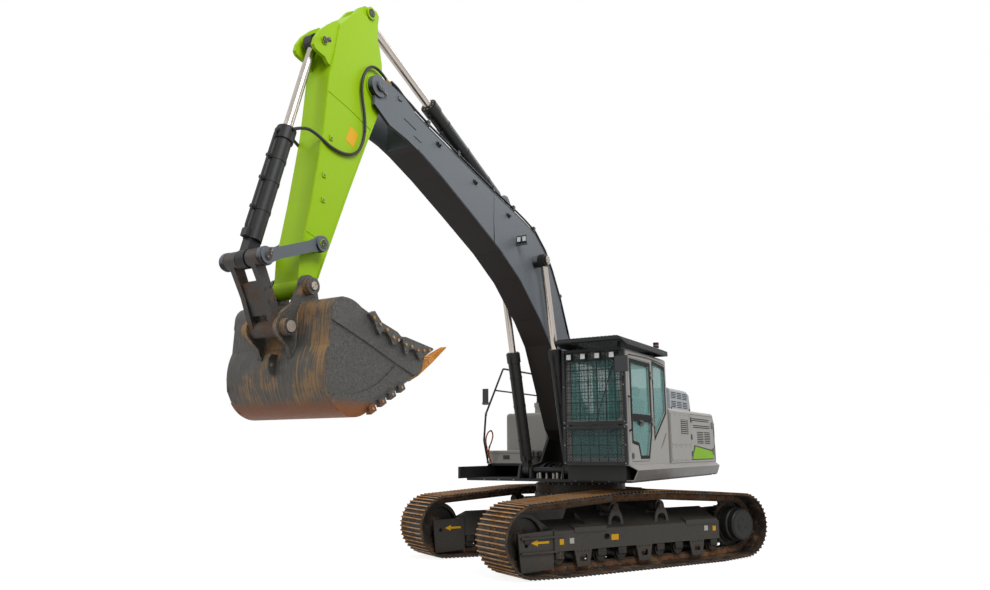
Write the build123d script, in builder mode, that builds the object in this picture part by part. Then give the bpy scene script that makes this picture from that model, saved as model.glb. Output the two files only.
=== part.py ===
"""Crawler excavator of the 38 tonne class, in millimetres.

X points the way the upper works face, Y to the cab side and Z up. Z = 0 is the ground.
Every size along X is measured from the slew axis, which stands at SLEW_X, so that the
origin lies under the middle of the whole machine. The undercarriage is drawn along its
own axes, U forward and V left, and stands turned by TRACK_TURN about the slew axis.
"""

from build123d import *
import math
import os

os.makedirs("parts", exist_ok=True)

# ---------------------------------------------------------------- driving dimensions
SLEW_X = -2010
TRACK_TURN = -28.3
SEAT_GAP = 0.3  # between pieces that bear on each other
RUNNING_GAP = 6  # between pieces that move past each other

# Tracks
GAUGE = 2590
SHOE_WIDTH = 800
SHOE_PITCH = 216
GROUSERS_PER_SHOE = 3
GROUSER_HEIGHT = 26
GROUSER_TIP = 14
GROUSER_ROOT = 28
SHOE_PLATE = 12
RAIL_HEIGHT = 116
RAIL_WIDTH = 45
RAIL_CENTRE = 75
WRAP_RADIUS = 344  # rail face on the idler and the sprocket
IDLER_U, IDLER_Z = 2047, 514
SPROCKET_U, SPROCKET_Z = -2060, 531
ROLLER_RADIUS = 90
ROLLER_COUNT = 9
ROLLER_SPACING = 378
CARRIER_RADIUS = 95
CARRIER_U = (430, -480)
CARRIER_Z = 871
TRACK_DEPTH = RAIL_HEIGHT + SHOE_PLATE + GROUSER_HEIGHT
ROLLER_Z = TRACK_DEPTH + ROLLER_RADIUS

# Track frames and carbody, V measured from the centre line of the track
FRAME_FRONT_U, FRAME_REAR_U = 1610, -1630
FRAME_OUT, FRAME_IN = 208, -202
FRAME_BOTTOM = ROLLER_Z + ROLLER_RADIUS + SEAT_GAP
FRAME_SHOULDER = 610
FRAME_RIDGE, NOSE_RIDGE = 815, 735  # inner edge of the roof, then of its lower front end
FRAME_STEP_U = 950
FRAME_DEPTH = 380  # underside of the box between its flanges
FLANGE_WIDTH = 60
BODY_BOTTOM, BODY_TOP = 520, 960
RING_SEAT = 1030
RING_RADIUS = 749
RING_TOP = 1190

# Deck
DECK_BOTTOM, DECK_FLOOR = 1255, 1515
DECK_PLATE = 40
GIRDER_IN, GIRDER_PLATE = 262, 40
HOUSE_HALF = 1500
DECK_FRONT = 1330

# Cab
CAB_RIGHT, CAB_LEFT = 505, 1490
CAB_FRONT, CAB_REAR = 1590, -300
CAB_TOP = 3205

# House behind the cab
HOUSE_TOP = 2410
TAIL_RADIUS = 3430
WEIGHT_DEPTH = 500
WEIGHT_GAP = 10
HOUSE_REAR = WEIGHT_DEPTH + WEIGHT_GAP - TAIL_RADIUS

# Pins of the working equipment, each as X, Z
BOOM_FOOT = (200, 2050)
BOOM_TIP = (5800, 5870)
LIFT_FOOT = (1165, 1425)  # boom cylinder on the deck
LIFT_EYE = (1955, 4587)  # boom cylinder on the boom
CROWD_FOOT = (2640, 5385)  # arm cylinder on the boom
CROWD_EYE = (5840, 6815)  # arm cylinder on the arm
CURL_EYE = (6630, 6070)  # bucket cylinder on the arm
CURL_FOOT = (7360, 3500)  # bucket cylinder on the linkage
GUIDE_PIN = (6652, 3775)  # guide links on the arm
BUCKET_PIN = (6760, 3320)
LINK_PIN = (7040, 2880)  # bucket link on the bucket

BOOM_HALF = 225
ARM_HALF = 165
LIFT_Y = 371
BUCKET_HALF = 655


DECK_REAR = HOUSE_REAR - 80


def side(y):
    """Drawing plane at y, seen from the right: local x is X forward, local y is Z."""
    return Plane(origin=(SLEW_X, y, 0), x_dir=(1, 0, 0), z_dir=(0, -1, 0))


def level(z):
    """Drawing plane at height z: local x is X forward, local y is Y left."""
    return Plane(origin=(SLEW_X, 0, z))


def front(x):
    """Drawing plane at x, facing forward: local x is Y left, local y is Z."""
    return Plane(origin=(SLEW_X + x, 0, 0), x_dir=(0, 1, 0), z_dir=(1, 0, 0))


TRACK_FORWARD = Vector(1, 0, 0).rotate(Axis.Z, TRACK_TURN)
TRACK_LEFT = Vector(0, 1, 0).rotate(Axis.Z, TRACK_TURN)


def track_point(u, v, z):
    """Place of a point given along the undercarriage's own axes."""
    return Vector(SLEW_X, 0, z) + TRACK_FORWARD * u + TRACK_LEFT * v


def track_side(v):
    return Plane(origin=track_point(0, v, 0), x_dir=TRACK_FORWARD, z_dir=TRACK_LEFT * -1)


def track_level(z):
    return Plane(origin=(SLEW_X, 0, z), x_dir=TRACK_FORWARD, z_dir=(0, 0, 1))


def track_front(u):
    return Plane(origin=track_point(u, 0, 0), x_dir=TRACK_LEFT, z_dir=TRACK_FORWARD)


def track_axle(u, v, z):
    """Plane through a cross axle: local x runs along the axle, local y is radial."""
    return Plane(origin=track_point(u, v, z), x_dir=TRACK_LEFT, z_dir=TRACK_FORWARD)


def boss(pin, radius, y_left, y_right, mode=Mode.ADD):
    """Round boss or bore along Y at a pin of the upper works, in the open part."""
    with BuildSketch(side(y_left)) as ring:
        with Locations(pin):
            Circle(radius)
    extrude(ring.sketch, amount=y_left - y_right, mode=mode)


def plate(outline, y_left, y_right, corner=0, mode=Mode.ADD):
    """Flat plate standing along X between two Y planes, with rounded corners."""
    with BuildSketch(side(y_left)) as shape:
        with BuildLine():
            Polyline(*outline, close=True)
        make_face()
        if corner:
            fillet(shape.vertices(), corner)
    extrude(shape.sketch, amount=y_left - y_right, mode=mode)


def box(x, y, z, mode=Mode.ADD):
    """Block given by its limits along X, Y and Z, each as a pair."""
    with BuildSketch(level(z[0])) as base:
        with Locations(((x[0] + x[1]) / 2, (y[0] + y[1]) / 2)):
            Rectangle(abs(x[1] - x[0]), abs(y[1] - y[0]))
    extrude(base.sketch, amount=z[1] - z[0], mode=mode)


def export(part, name):
    part.label = name
    export_step(part, f"parts/{name}.step")


# ---------------------------------------------------------------- tracks
def guide_hull(depth):
    """Loop at a depth outside the rail face, stretched round all that guides it."""
    rail_guides = [
        # u, z, radius
        (IDLER_U, IDLER_Z, WRAP_RADIUS),
        (CARRIER_U[0], CARRIER_Z, CARRIER_RADIUS),
        (CARRIER_U[1], CARRIER_Z, CARRIER_RADIUS),
        (SPROCKET_U, SPROCKET_Z, WRAP_RADIUS),
        (-ROLLER_SPACING * (ROLLER_COUNT // 2), ROLLER_Z, ROLLER_RADIUS),
        (ROLLER_SPACING * (ROLLER_COUNT // 2), ROLLER_Z, ROLLER_RADIUS),
    ]
    with BuildSketch() as loop:
        for u, z, radius in rail_guides:
            with Locations((u, z)):
                Circle(radius + depth)
        make_hull()
    return loop.sketch


def grouser_outline():
    """Outside of the shoes: flat plates with ridges across them, evenly round the loop."""
    wire = guide_hull(RAIL_HEIGHT + SHOE_PLATE).face().outer_wire()
    shoes = round(wire.length / SHOE_PITCH)
    ridges = shoes * GROUSERS_PER_SHOE
    spacing = wire.length / ridges
    points = []
    for ridge in range(ridges):
        middle = (ridge + 0.5) * spacing
        corners = [
            (-GROUSER_ROOT / 2, 0),
            (-GROUSER_TIP / 2, GROUSER_HEIGHT),
            (GROUSER_TIP / 2, GROUSER_HEIGHT),
            (GROUSER_ROOT / 2, 0),
        ]
        for along, height in corners:
            at = (middle + along) / wire.length
            place = wire.position_at(at)
            run = wire.tangent_at(at)
            outward = Vector(run.Y, -run.X)
            if outward.dot(place - Vector(0, IDLER_Z)) < 0:
                outward = outward * -1
            points.append(place + outward * height)
    return points


shoe_points = grouser_outline()
shoe_inside = guide_hull(RAIL_HEIGHT)
rail_inside = guide_hull(0)

for name, hand in (("track_left", 1), ("track_right", -1)):
    centre = hand * GAUGE / 2
    with BuildPart() as track:
        with BuildSketch(track_side(centre + SHOE_WIDTH / 2)):
            with BuildLine():
                Polyline(*shoe_points, close=True)
            make_face()
            add(shoe_inside, mode=Mode.SUBTRACT)
        extrude(amount=SHOE_WIDTH)
        for rail in (-RAIL_CENTRE, RAIL_CENTRE):
            with BuildSketch(track_side(centre + rail + RAIL_WIDTH / 2)):
                add(shoe_inside)
                add(rail_inside, mode=Mode.SUBTRACT)
            extrude(amount=RAIL_WIDTH)
    track.part.label = name
    export_step(track.part, f"parts/{name}.step")

# ---------------------------------------------------------------- track wheels
def wheel(u, v, z, half_profile):
    """Body of revolution about a cross axle, from its profile as (across, radius)."""
    axle = track_axle(u, v, z)
    with BuildSketch(axle) as section:
        with BuildLine():
            Polyline(*half_profile, close=True)
        make_face()
    revolve(section.sketch, axis=Axis(axle.origin, axle.x_dir))


ROLLER_LENGTH = 330
ROLLER_FLANGE = 106
FLANGE_IN, FLANGE_OUT = 100, 116
RAIL_IN = RAIL_CENTRE - RAIL_WIDTH / 2 - RUNNING_GAP

with BuildPart() as track_rollers:
    for hand in (1, -1):
        for number in range(ROLLER_COUNT):
            u = ROLLER_SPACING * (number - ROLLER_COUNT // 2)
            tread = ROLLER_RADIUS - SEAT_GAP
            wheel(u, hand * GAUGE / 2, ROLLER_Z, [
                (-ROLLER_LENGTH / 2, 0), (-ROLLER_LENGTH / 2, tread), (-FLANGE_OUT, tread),
                (-FLANGE_OUT, ROLLER_FLANGE), (-FLANGE_IN, ROLLER_FLANGE), (-FLANGE_IN, tread),
                (FLANGE_IN, tread), (FLANGE_IN, ROLLER_FLANGE), (FLANGE_OUT, ROLLER_FLANGE),
                (FLANGE_OUT, tread), (ROLLER_LENGTH / 2, tread), (ROLLER_LENGTH / 2, 0),
            ])
export(track_rollers.part, "track_rollers")

CARRIER_LENGTH = 190
CARRIER_STUB = 130
with BuildPart() as carrier_rollers:
    for hand in (1, -1):
        for u in CARRIER_U:
            tread = CARRIER_RADIUS - SEAT_GAP
            out = CARRIER_LENGTH / 2
            stub = CARRIER_STUB
            v = hand * GAUGE / 2
            wheel(u, v, CARRIER_Z, [(-stub, 0), (-stub, 38), (-out, 38), (-out, tread),
                                    (out, tread), (out, 38), (stub, 38), (stub, 0)])
export(carrier_rollers.part, "carrier_rollers")

IDLER_FLANGE = 24  # height of the middle flange that runs between the rails
IDLER_AXLE = 55
YOKE_IN = 148  # inner face of the yoke plates, from the track's centre line
YOKE_PLATE = 40
with BuildPart() as idlers:
    for hand in (1, -1):
        tread = WRAP_RADIUS - SEAT_GAP
        wheel(IDLER_U, hand * GAUGE / 2, IDLER_Z, [
            (-YOKE_IN + 1, 0), (-YOKE_IN + 1, 90), (-70, 90), (-40, 130), (-40, tread - 60),
            (-97, tread - 45), (-97, tread), (-RAIL_IN, tread), (-RAIL_IN, tread + IDLER_FLANGE),
            (RAIL_IN, tread + IDLER_FLANGE), (RAIL_IN, tread), (97, tread), (97, tread - 45),
            (40, tread - 60), (40, 130), (70, 90), (YOKE_IN - 1, 90), (YOKE_IN - 1, 0),
        ])
export(idlers.part, "idlers")

# Sprocket: a toothed rim bolted to the final drive's flange
TEETH = 23
TOOTH_TIP, TOOTH_ROOT = 408, 362
SPROCKET_WIDTH = 64
DRIVE_FLANGE = 300
with BuildPart() as sprockets:
    for hand in (1, -1):
        with BuildSketch(track_side(hand * GAUGE / 2 + SPROCKET_WIDTH / 2)):
            with Locations((SPROCKET_U, SPROCKET_Z)):
                Circle(TOOTH_ROOT)
                with PolarLocations(TOOTH_ROOT - 8, TEETH):
                    with Locations(((TOOTH_TIP - TOOTH_ROOT) / 2, 0)):
                        Trapezoid(34, TOOTH_TIP - TOOTH_ROOT + 8, 78, rotation=-90)
                Circle(DRIVE_FLANGE - 60, mode=Mode.SUBTRACT)
        extrude(amount=SPROCKET_WIDTH)
export(sprockets.part, "sprockets")

DRUM_RADIUS = 247
DRUM_FACE = 322  # outer face of the final drive, from the track's centre line
with BuildPart() as final_drives:
    for hand in (1, -1):
        inner = -hand * 215
        face = hand * DRUM_FACE
        half = hand * SPROCKET_WIDTH / 2
        wheel(SPROCKET_U, hand * GAUGE / 2, SPROCKET_Z, [
            (inner, 0), (inner, 150), (-hand * 158, 150), (-hand * 158, 232),
            (-half, 232), (half, 238), (half + hand * SEAT_GAP, 238),
            (half + hand * SEAT_GAP, DRIVE_FLANGE), (half + hand * 34, DRIVE_FLANGE),
            (half + hand * 34, 268), (hand * 200, 268), (hand * 216, DRUM_RADIUS),
            (face - hand * 14, DRUM_RADIUS), (face, DRUM_RADIUS - 14), (face, 0),
        ])
export(final_drives.part, "final_drives")

# ---------------------------------------------------------------- track frames
MOTOR_PLATE = (FRAME_IN, -159)  # plate that carries the final drive
YOKE_REAR = 1612  # clear of the last bottom roller
YOKE = [(1560, 625), (1560, 560), (YOKE_REAR, 500), (YOKE_REAR, 130), (1650, 105), (2155, 85),
        (2205, 600)]
YOKE_HOLE, YOKE_HOLE_RADIUS = (2068, 442), 30
YOKE_RIBS = ((1426, 2161, 538), (1579, 2164, 340))  # rear end, front end, height
RIB_HEIGHT, RIB_PROUD = 24, 14
STEP_PADS = ((685, 1265), (-1584, -900))  # ends of the raised treads along the shoulder
PAD_TOP, PAD_PROUD = 645, 14
STAND_PLATE = 30
ARCH_HALF, ARCH_TOP = 88, 770
GUARD_U, GUARD_LOW, GUARD_PLATE = (1107, -40, -1130), 110, 25
for name, hand in (("track_frame_left", 1), ("track_frame_right", -1)):
    centre = hand * GAUGE / 2
    with BuildPart() as track_frame:
        # Box under a sloping roof, with a flange down each side for the bottom rollers
        for rear, fore, ridge in ((FRAME_REAR_U, FRAME_STEP_U, FRAME_RIDGE),
                                  (FRAME_STEP_U, FRAME_FRONT_U, NOSE_RIDGE)):
            with BuildSketch(track_front(rear)):
                Polygon(*[(centre + hand * v, z) for v, z in (
                    (FRAME_OUT, FRAME_BOTTOM), (FRAME_OUT, FRAME_SHOULDER), (FRAME_IN, ridge),
                    (FRAME_IN, FRAME_BOTTOM), (FRAME_IN + FLANGE_WIDTH, FRAME_BOTTOM),
                    (FRAME_IN + FLANGE_WIDTH, FRAME_DEPTH),
                    (FRAME_OUT - FLANGE_WIDTH, FRAME_DEPTH),
                    (FRAME_OUT - FLANGE_WIDTH, FRAME_BOTTOM),
                )], align=None)
            extrude(amount=fore - rear)
        # Treads that lie along the shoulder
        for rear, fore in STEP_PADS:
            with BuildSketch(track_front(rear)):
                Polygon(*[(centre + hand * v, z) for v, z in (
                    (FRAME_OUT + PAD_PROUD, PAD_TOP - 70), (FRAME_OUT + PAD_PROUD, PAD_TOP),
                    (FRAME_OUT - 105, PAD_TOP + 35), (FRAME_OUT - 105, PAD_TOP - 70),
                )], align=None)
            extrude(amount=fore - rear)
        # Yoke: a plate each side of the idler, ribbed on the outside
        for v in (YOKE_IN, -YOKE_IN - YOKE_PLATE):
            with BuildSketch(track_side(centre + v + YOKE_PLATE)):
                Polygon(*YOKE, align=None)
                with Locations(YOKE_HOLE):
                    Circle(YOKE_HOLE_RADIUS, mode=Mode.SUBTRACT)
            extrude(amount=YOKE_PLATE)
        ribs_in, ribs_out = sorted((centre + hand * (YOKE_IN + 10),
                                    centre + hand * (FRAME_OUT + RIB_PROUD)))
        for rear, fore, z in YOKE_RIBS:
            with BuildSketch(track_side(ribs_out)):
                with Locations(((rear + fore) / 2, z)):
                    Rectangle(fore - rear, RIB_HEIGHT)
            extrude(amount=ribs_out - ribs_in)
        # Plate and ring round the final drive
        inner, outer = sorted(centre + hand * v for v in MOTOR_PLATE)
        with BuildSketch(track_side(outer)):
            Polygon((-1600, 350), (-1600, 790), (-1950, 800), (-1950, 272), align=None)
            with Locations((SPROCKET_U, SPROCKET_Z)):
                Circle(280)
                Circle(150 + SEAT_GAP, mode=Mode.SUBTRACT)
        extrude(amount=outer - inner)
        # Arched stands of the carrier rollers, one each side of the roller
        for u in CARRIER_U:
            for v in (CARRIER_STUB - STAND_PLATE, -CARRIER_STUB):
                with BuildSketch(track_side(centre + v + STAND_PLATE)):
                    Polygon((u - 158, 600), (u - 120, 770), (u - 50, CARRIER_Z + 20),
                            (u + 50, CARRIER_Z + 20), (u + 120, 770), (u + 158, 600), align=None)
                    with Locations((u, CARRIER_Z)):
                        Circle(58)
                    with Locations((u, ARCH_TOP - ARCH_HALF)):
                        Circle(ARCH_HALF, mode=Mode.SUBTRACT)
                    Polygon((u - ARCH_HALF, 590), (u - ARCH_HALF, ARCH_TOP - ARCH_HALF),
                            (u + ARCH_HALF, ARCH_TOP - ARCH_HALF), (u + ARCH_HALF, 590),
                            align=None, mode=Mode.SUBTRACT)
                    with Locations((u, CARRIER_Z)):
                        Circle(38 + SEAT_GAP, mode=Mode.SUBTRACT)
                extrude(amount=STAND_PLATE)
        # Guards that keep the chain in line, with a window each
        for u in GUARD_U:
            for v in (FRAME_OUT - GUARD_PLATE, FRAME_IN):
                with BuildSketch(track_side(centre + v + GUARD_PLATE)):
                    Polygon((u - 155, FRAME_BOTTOM + 5), (u - 110, GUARD_LOW),
                            (u + 110, GUARD_LOW), (u + 155, FRAME_BOTTOM + 5), align=None)
                    with Locations((u, (FRAME_BOTTOM + GUARD_LOW) / 2)):
                        RectangleRounded(130, 90, 25, mode=Mode.SUBTRACT)
                extrude(amount=GUARD_PLATE)
        # Grease opening of the track adjuster, in the outer side
        adjuster = centre + hand * FRAME_OUT
        with BuildSketch(track_side(max(adjuster, adjuster - hand * 60))):
            with Locations((675, 490)):
                SlotOverall(110, 80)
        extrude(amount=60, mode=Mode.SUBTRACT)
    export(track_frame.part, name)

# ---------------------------------------------------------------- carbody and slew ring
with BuildPart() as carbody:
    with BuildSketch(track_level(BODY_BOTTOM)):
        RectangleRounded(1560, 1400, 200)
    extrude(amount=BODY_TOP - BODY_BOTTOM)
    with BuildSketch(track_level(BODY_TOP)):
        Circle(RING_RADIUS + 20)
    extrude(amount=RING_SEAT - BODY_TOP)
    for fore in (1, -1):
        for hand in (1, -1):
            with BuildSketch(track_side(hand * 640)):
                with Locations((fore * 440, 745)):
                    Rectangle(560, 400)
            with BuildSketch(track_side(hand * (GAUGE / 2 + FRAME_IN))):
                with Locations((fore * 860, 550)):
                    Rectangle(620, 350)
            loft()
export(carbody.part, "carbody")

with BuildPart() as slew_ring:
    with BuildSketch(track_level(RING_SEAT)):
        Circle(RING_RADIUS)
        Circle(RING_RADIUS - 150, mode=Mode.SUBTRACT)
    extrude(amount=RING_TOP - RING_SEAT)
export(slew_ring.part, "slew_ring")

# ---------------------------------------------------------------- door hinges
HINGE_OUT = 16  # how far a hinge's pin stands out from its panel
HINGE_RADIUS, HINGE_PIN = 12, 6
HINGE_HALF = 20  # half-height of the middle knuckle


def upright(x, y, z_low, z_high, radius, mode=Mode.ADD):
    """Vertical cylinder."""
    with BuildSketch(level(z_low)) as disc:
        with Locations((x, y)):
            Circle(radius)
    extrude(disc.sketch, amount=z_high - z_low, mode=mode)


def hinge_fixed(x, face, hand, heights):
    """Outer knuckles and pin of hinges on the panel behind a door's edge at x."""
    y = face + hand * HINGE_OUT
    for z in heights:
        for low, high in ((z - 3 * HINGE_HALF, z - HINGE_HALF), (z + HINGE_HALF, z + 3 * HINGE_HALF)):
            upright(x, y, low, high, HINGE_RADIUS)
            box((x - 40, x - 8), sorted((face, y)), (low, high))
        upright(x, y, z - HINGE_HALF, z + HINGE_HALF, HINGE_PIN)


def hinge_moving(x, face, hand, heights):
    """Middle knuckle of the same hinges, with a leaf on to the door."""
    y = face + hand * HINGE_OUT
    for z in heights:
        low, high = z - HINGE_HALF + SEAT_GAP, z + HINGE_HALF - SEAT_GAP
        upright(x, y, low, high, HINGE_RADIUS)
        box((x + 8, x + 45), sorted((face, y)), (low, high))
        upright(x, y, low, high, HINGE_PIN + 0.1, mode=Mode.SUBTRACT)


def along(y, z, x_rear, x_front, radius, mode=Mode.ADD):
    """Cylinder lying along X."""
    with BuildSketch(front(x_rear)) as disc:
        with Locations((y, z)):
            Circle(radius)
    extrude(disc.sketch, amount=x_front - x_rear, mode=mode)


# Hinges along X, their middle knuckle on the flap and the outer ones on the fixed part
FLAP_PIN, FLAP_RADIUS = 7, 13
FLAP_HALF = 40


def flap_hinges_fixed(y, z, wall, places):
    for x in places:
        for near, far in ((x - 3 * FLAP_HALF, x - FLAP_HALF), (x + FLAP_HALF, x + 3 * FLAP_HALF)):
            along(y, z, near, far, FLAP_RADIUS)
            box((near, far), (y - FLAP_RADIUS, y + FLAP_RADIUS), (wall, z))
        along(y, z, x - FLAP_HALF, x + FLAP_HALF, FLAP_PIN)


def flap_hinges_moving(y, z, edge, places):
    for x in places:
        near, far = x - FLAP_HALF + SEAT_GAP, x + FLAP_HALF - SEAT_GAP
        along(y, z, near, far, FLAP_RADIUS)
        box((near, far), sorted((y, edge)), (z + 2, z + FLAP_RADIUS))
        along(y, z, near, far, FLAP_PIN + 0.1, mode=Mode.SUBTRACT)


# ---------------------------------------------------------------- deck
with BuildPart() as deck:
    # Turning ring under the deck, centre plate, and the two girders of the boom foot
    with BuildSketch(level(RING_TOP + SEAT_GAP)):
        Circle(RING_RADIUS - 60)
        Circle(RING_RADIUS - 190, mode=Mode.SUBTRACT)
    extrude(amount=DECK_BOTTOM - RING_TOP - SEAT_GAP)
    box((DECK_REAR + 70, DECK_FRONT), (-1420, 1420), (DECK_BOTTOM, DECK_BOTTOM + DECK_PLATE))
    for y_left in (GIRDER_IN + GIRDER_PLATE, -GIRDER_IN):
        plate([(DECK_REAR + 100, 1290), (DECK_REAR + 100, DECK_FLOOR), (-1330, DECK_FLOOR),
               (-420, 1840), (30, 2240), (370, 2240), (560, 2000), (900, 1545), (1200, 1505),
               (1250, 1450), (1250, 1290)],
              y_left, y_left - GIRDER_PLATE, corner=20)
    box((-700, -660), (-GIRDER_IN, GIRDER_IN), (1290, 1700))
    box((600, 640), (-GIRDER_IN, GIRDER_IN), (1290, 1540))
    # Outer lugs of the boom cylinders' feet
    for y_left in (480, -440):
        plate([(980, 1290), (1060, 1480), (1110, 1525), (1220, 1525), (1270, 1480), (1330, 1290)],
              y_left, y_left - 40)
    boss(BOOM_FOOT, 62, GIRDER_IN + GIRDER_PLATE + 40, -GIRDER_IN - GIRDER_PLATE - 40)
    boss(LIFT_FOOT, 45, 500, -500)
    # Outer rails that carry the floors of the cab and of the house
    for y_left in (1440, -1400):
        plate([(DECK_REAR + 70, 1290), (DECK_REAR + 70, 1475), (1560, 1475), (1560, 1290)],
              y_left, y_left - 40)
    box((DECK_REAR + 70, 1560), (520, 1440), (1475, DECK_FLOOR))
    box((DECK_REAR + 70, 500), (-1440, -520), (1475, DECK_FLOOR))
    box((1330, 1560), (520, 1400), (1290, 1475))
export(deck.part, "deck")

# Sills: folded plates along both sides, sloping out from the house
SILL_IN = 1440 + SEAT_GAP
for name, hand, nose in (("sill_left", 1, 1560), ("sill_right", -1, 560)):
    with BuildPart() as sill:
        with BuildSketch(front(HOUSE_REAR)):
            with BuildLine():
                Polyline(*[(hand * y, z) for y, z in (
                    (SILL_IN, 1514), (1492, 1514), (1585, 1440), (1535, 1290), (SILL_IN, 1290),
                    (SILL_IN, 1300), (1525, 1300), (1572, 1436), (1486, 1502), (SILL_IN, 1502),
                )], close=True)
            make_face()
        extrude(amount=nose - HOUSE_REAR)
        with BuildSketch(level(DECK_BOTTOM)):
            Polygon((nose - 140, hand * 1600), (nose + 1, hand * SILL_IN + hand * 30),
                    (nose + 1, hand * 1600), align=None)
        extrude(amount=DECK_FLOOR - DECK_BOTTOM, mode=Mode.SUBTRACT)
    export(sill.part, name)

# ---------------------------------------------------------------- counterweight
TAIL_FRONT = HOUSE_REAR - WEIGHT_GAP
TAIL_TOP = 2330
EYE_X, EYE_Y = TAIL_FRONT - 190, 700
EYE_RADIUS, EYE_DEPTH = 24, 90
with BuildPart() as counterweight:
    with BuildSketch(level(DECK_BOTTOM + WEIGHT_GAP)):
        with BuildLine():
            tail_half = 1470
            tail_x = -math.sqrt(TAIL_RADIUS**2 - tail_half**2)
            Polyline((tail_x, tail_half), (TAIL_FRONT, tail_half), (TAIL_FRONT, -tail_half),
                     (tail_x, -tail_half))
            ThreePointArc((tail_x, -tail_half), (-TAIL_RADIUS, 0), (tail_x, tail_half))
        make_face()
    extrude(amount=TAIL_TOP - DECK_BOTTOM - WEIGHT_GAP)
    rim = counterweight.faces().sort_by(Axis.Z)[-1].edges().filter_by(GeomType.CIRCLE)
    chamfer(rim, 120, 60)
    # Tapped holes for lifting eyes
    with BuildSketch(level(TAIL_TOP)):
        with Locations((EYE_X, EYE_Y), (EYE_X, -EYE_Y)):
            Circle(EYE_RADIUS)
    extrude(amount=-EYE_DEPTH, mode=Mode.SUBTRACT)
export(counterweight.part, "counterweight")

# ---------------------------------------------------------------- house
with BuildPart() as engine:
    box((HOUSE_REAR + 320, -1520), (-430, 500), (DECK_FLOOR + SEAT_GAP, 2200))
export(engine.part, "engine")

HOUSE_FRONT = CAB_REAR - 20
DOOR_FRONT = -1440  # where the rear side doors begin
DOOR_REAR = HOUSE_REAR + 70
DOOR_BOTTOM, DOOR_TOP = DECK_FLOOR + 35, HOUSE_TOP - 60
DOOR_HINGES = (1700, 2180)
PANEL = 40
HOOD_REAR, HOOD_FRONT = HOUSE_REAR + 130, -1530
HOOD_RIGHT, HOOD_LEFT = -380, 1120
HOOD_HINGE_Y, HOOD_HINGE_Z = HOOD_RIGHT - 18, HOUSE_TOP + 20
HOOD_HINGES = (HOOD_FRONT - 250, HOOD_REAR + 350)
with BuildPart() as house:
    # Shell over the whole rear, open below
    box((HOUSE_REAR, HOUSE_FRONT), (CAB_RIGHT - 50, HOUSE_HALF), (DECK_FLOOR, HOUSE_TOP))
    box((HOUSE_REAR, -1350), (-HOUSE_HALF, CAB_RIGHT), (DECK_FLOOR, HOUSE_TOP))
    long_edges = house.edges().filter_by(Axis.X).group_by(Axis.Z)[-1]
    fillet(long_edges, 60)
    box((HOUSE_REAR + PANEL, HOUSE_FRONT - PANEL),
        (CAB_RIGHT - 50 + PANEL, HOUSE_HALF - PANEL), (DECK_FLOOR, HOUSE_TOP - PANEL),
        mode=Mode.SUBTRACT)
    box((HOUSE_REAR + PANEL, -1350 - PANEL), (-HOUSE_HALF + PANEL, CAB_RIGHT + 100),
        (DECK_FLOOR, HOUSE_TOP - PANEL), mode=Mode.SUBTRACT)
    # Doorways at both sides
    for y in ((HOUSE_HALF - 2 * PANEL, HOUSE_HALF + 20), (-HOUSE_HALF - 20, 2 * PANEL - HOUSE_HALF)):
        box((DOOR_REAR, DOOR_FRONT), y, (DOOR_BOTTOM, DOOR_TOP), mode=Mode.SUBTRACT)
    for hand in (1, -1):
        hinge_fixed(DOOR_REAR + RUNNING_GAP, hand * HOUSE_HALF, hand, DOOR_HINGES)
    # Opening under the engine hood
    box((HOUSE_REAR + 160, -1560), (-350, 1000), (HOUSE_TOP - 100, HOUSE_TOP + 50),
        mode=Mode.SUBTRACT)
    flap_hinges_fixed(HOOD_HINGE_Y, HOOD_HINGE_Z, HOUSE_TOP - 5, HOOD_HINGES)
export(house.part, "house")

# Side doors with grilles
GRILLES = (
    # x front, x rear, z bottom, z top
    (DOOR_FRONT - 120, DOOR_REAR + 210, 2235, 2300),
    (DOOR_FRONT - 160, DOOR_REAR + 170, 2115, 2180),
    (DOOR_REAR + 1020, DOOR_REAR + 610, 1840, 2070),
    (DOOR_REAR + 560, DOOR_REAR + 170, 1840, 2070),
)
for name, hand in (("side_door_left", 1), ("side_door_right", -1)):
    with BuildPart() as side_door:
        y = sorted((hand * (HOUSE_HALF - PANEL), hand * HOUSE_HALF))
        gap = RUNNING_GAP
        box((DOOR_REAR + gap, DOOR_FRONT - gap), y, (DOOR_BOTTOM + gap, DOOR_TOP - gap))
        for x_front, x_rear, z_low, z_high in GRILLES:
            slats = round((z_high - z_low) / 32)
            for slat in range(slats):
                z = z_low + 32 * slat
                box((x_rear, x_front), (y[0] - 1, y[1] + 1), (z, z + 16), mode=Mode.SUBTRACT)
        hinge_moving(DOOR_REAR + gap, hand * HOUSE_HALF, hand, DOOR_HINGES)
    export(side_door.part, name)

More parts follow.
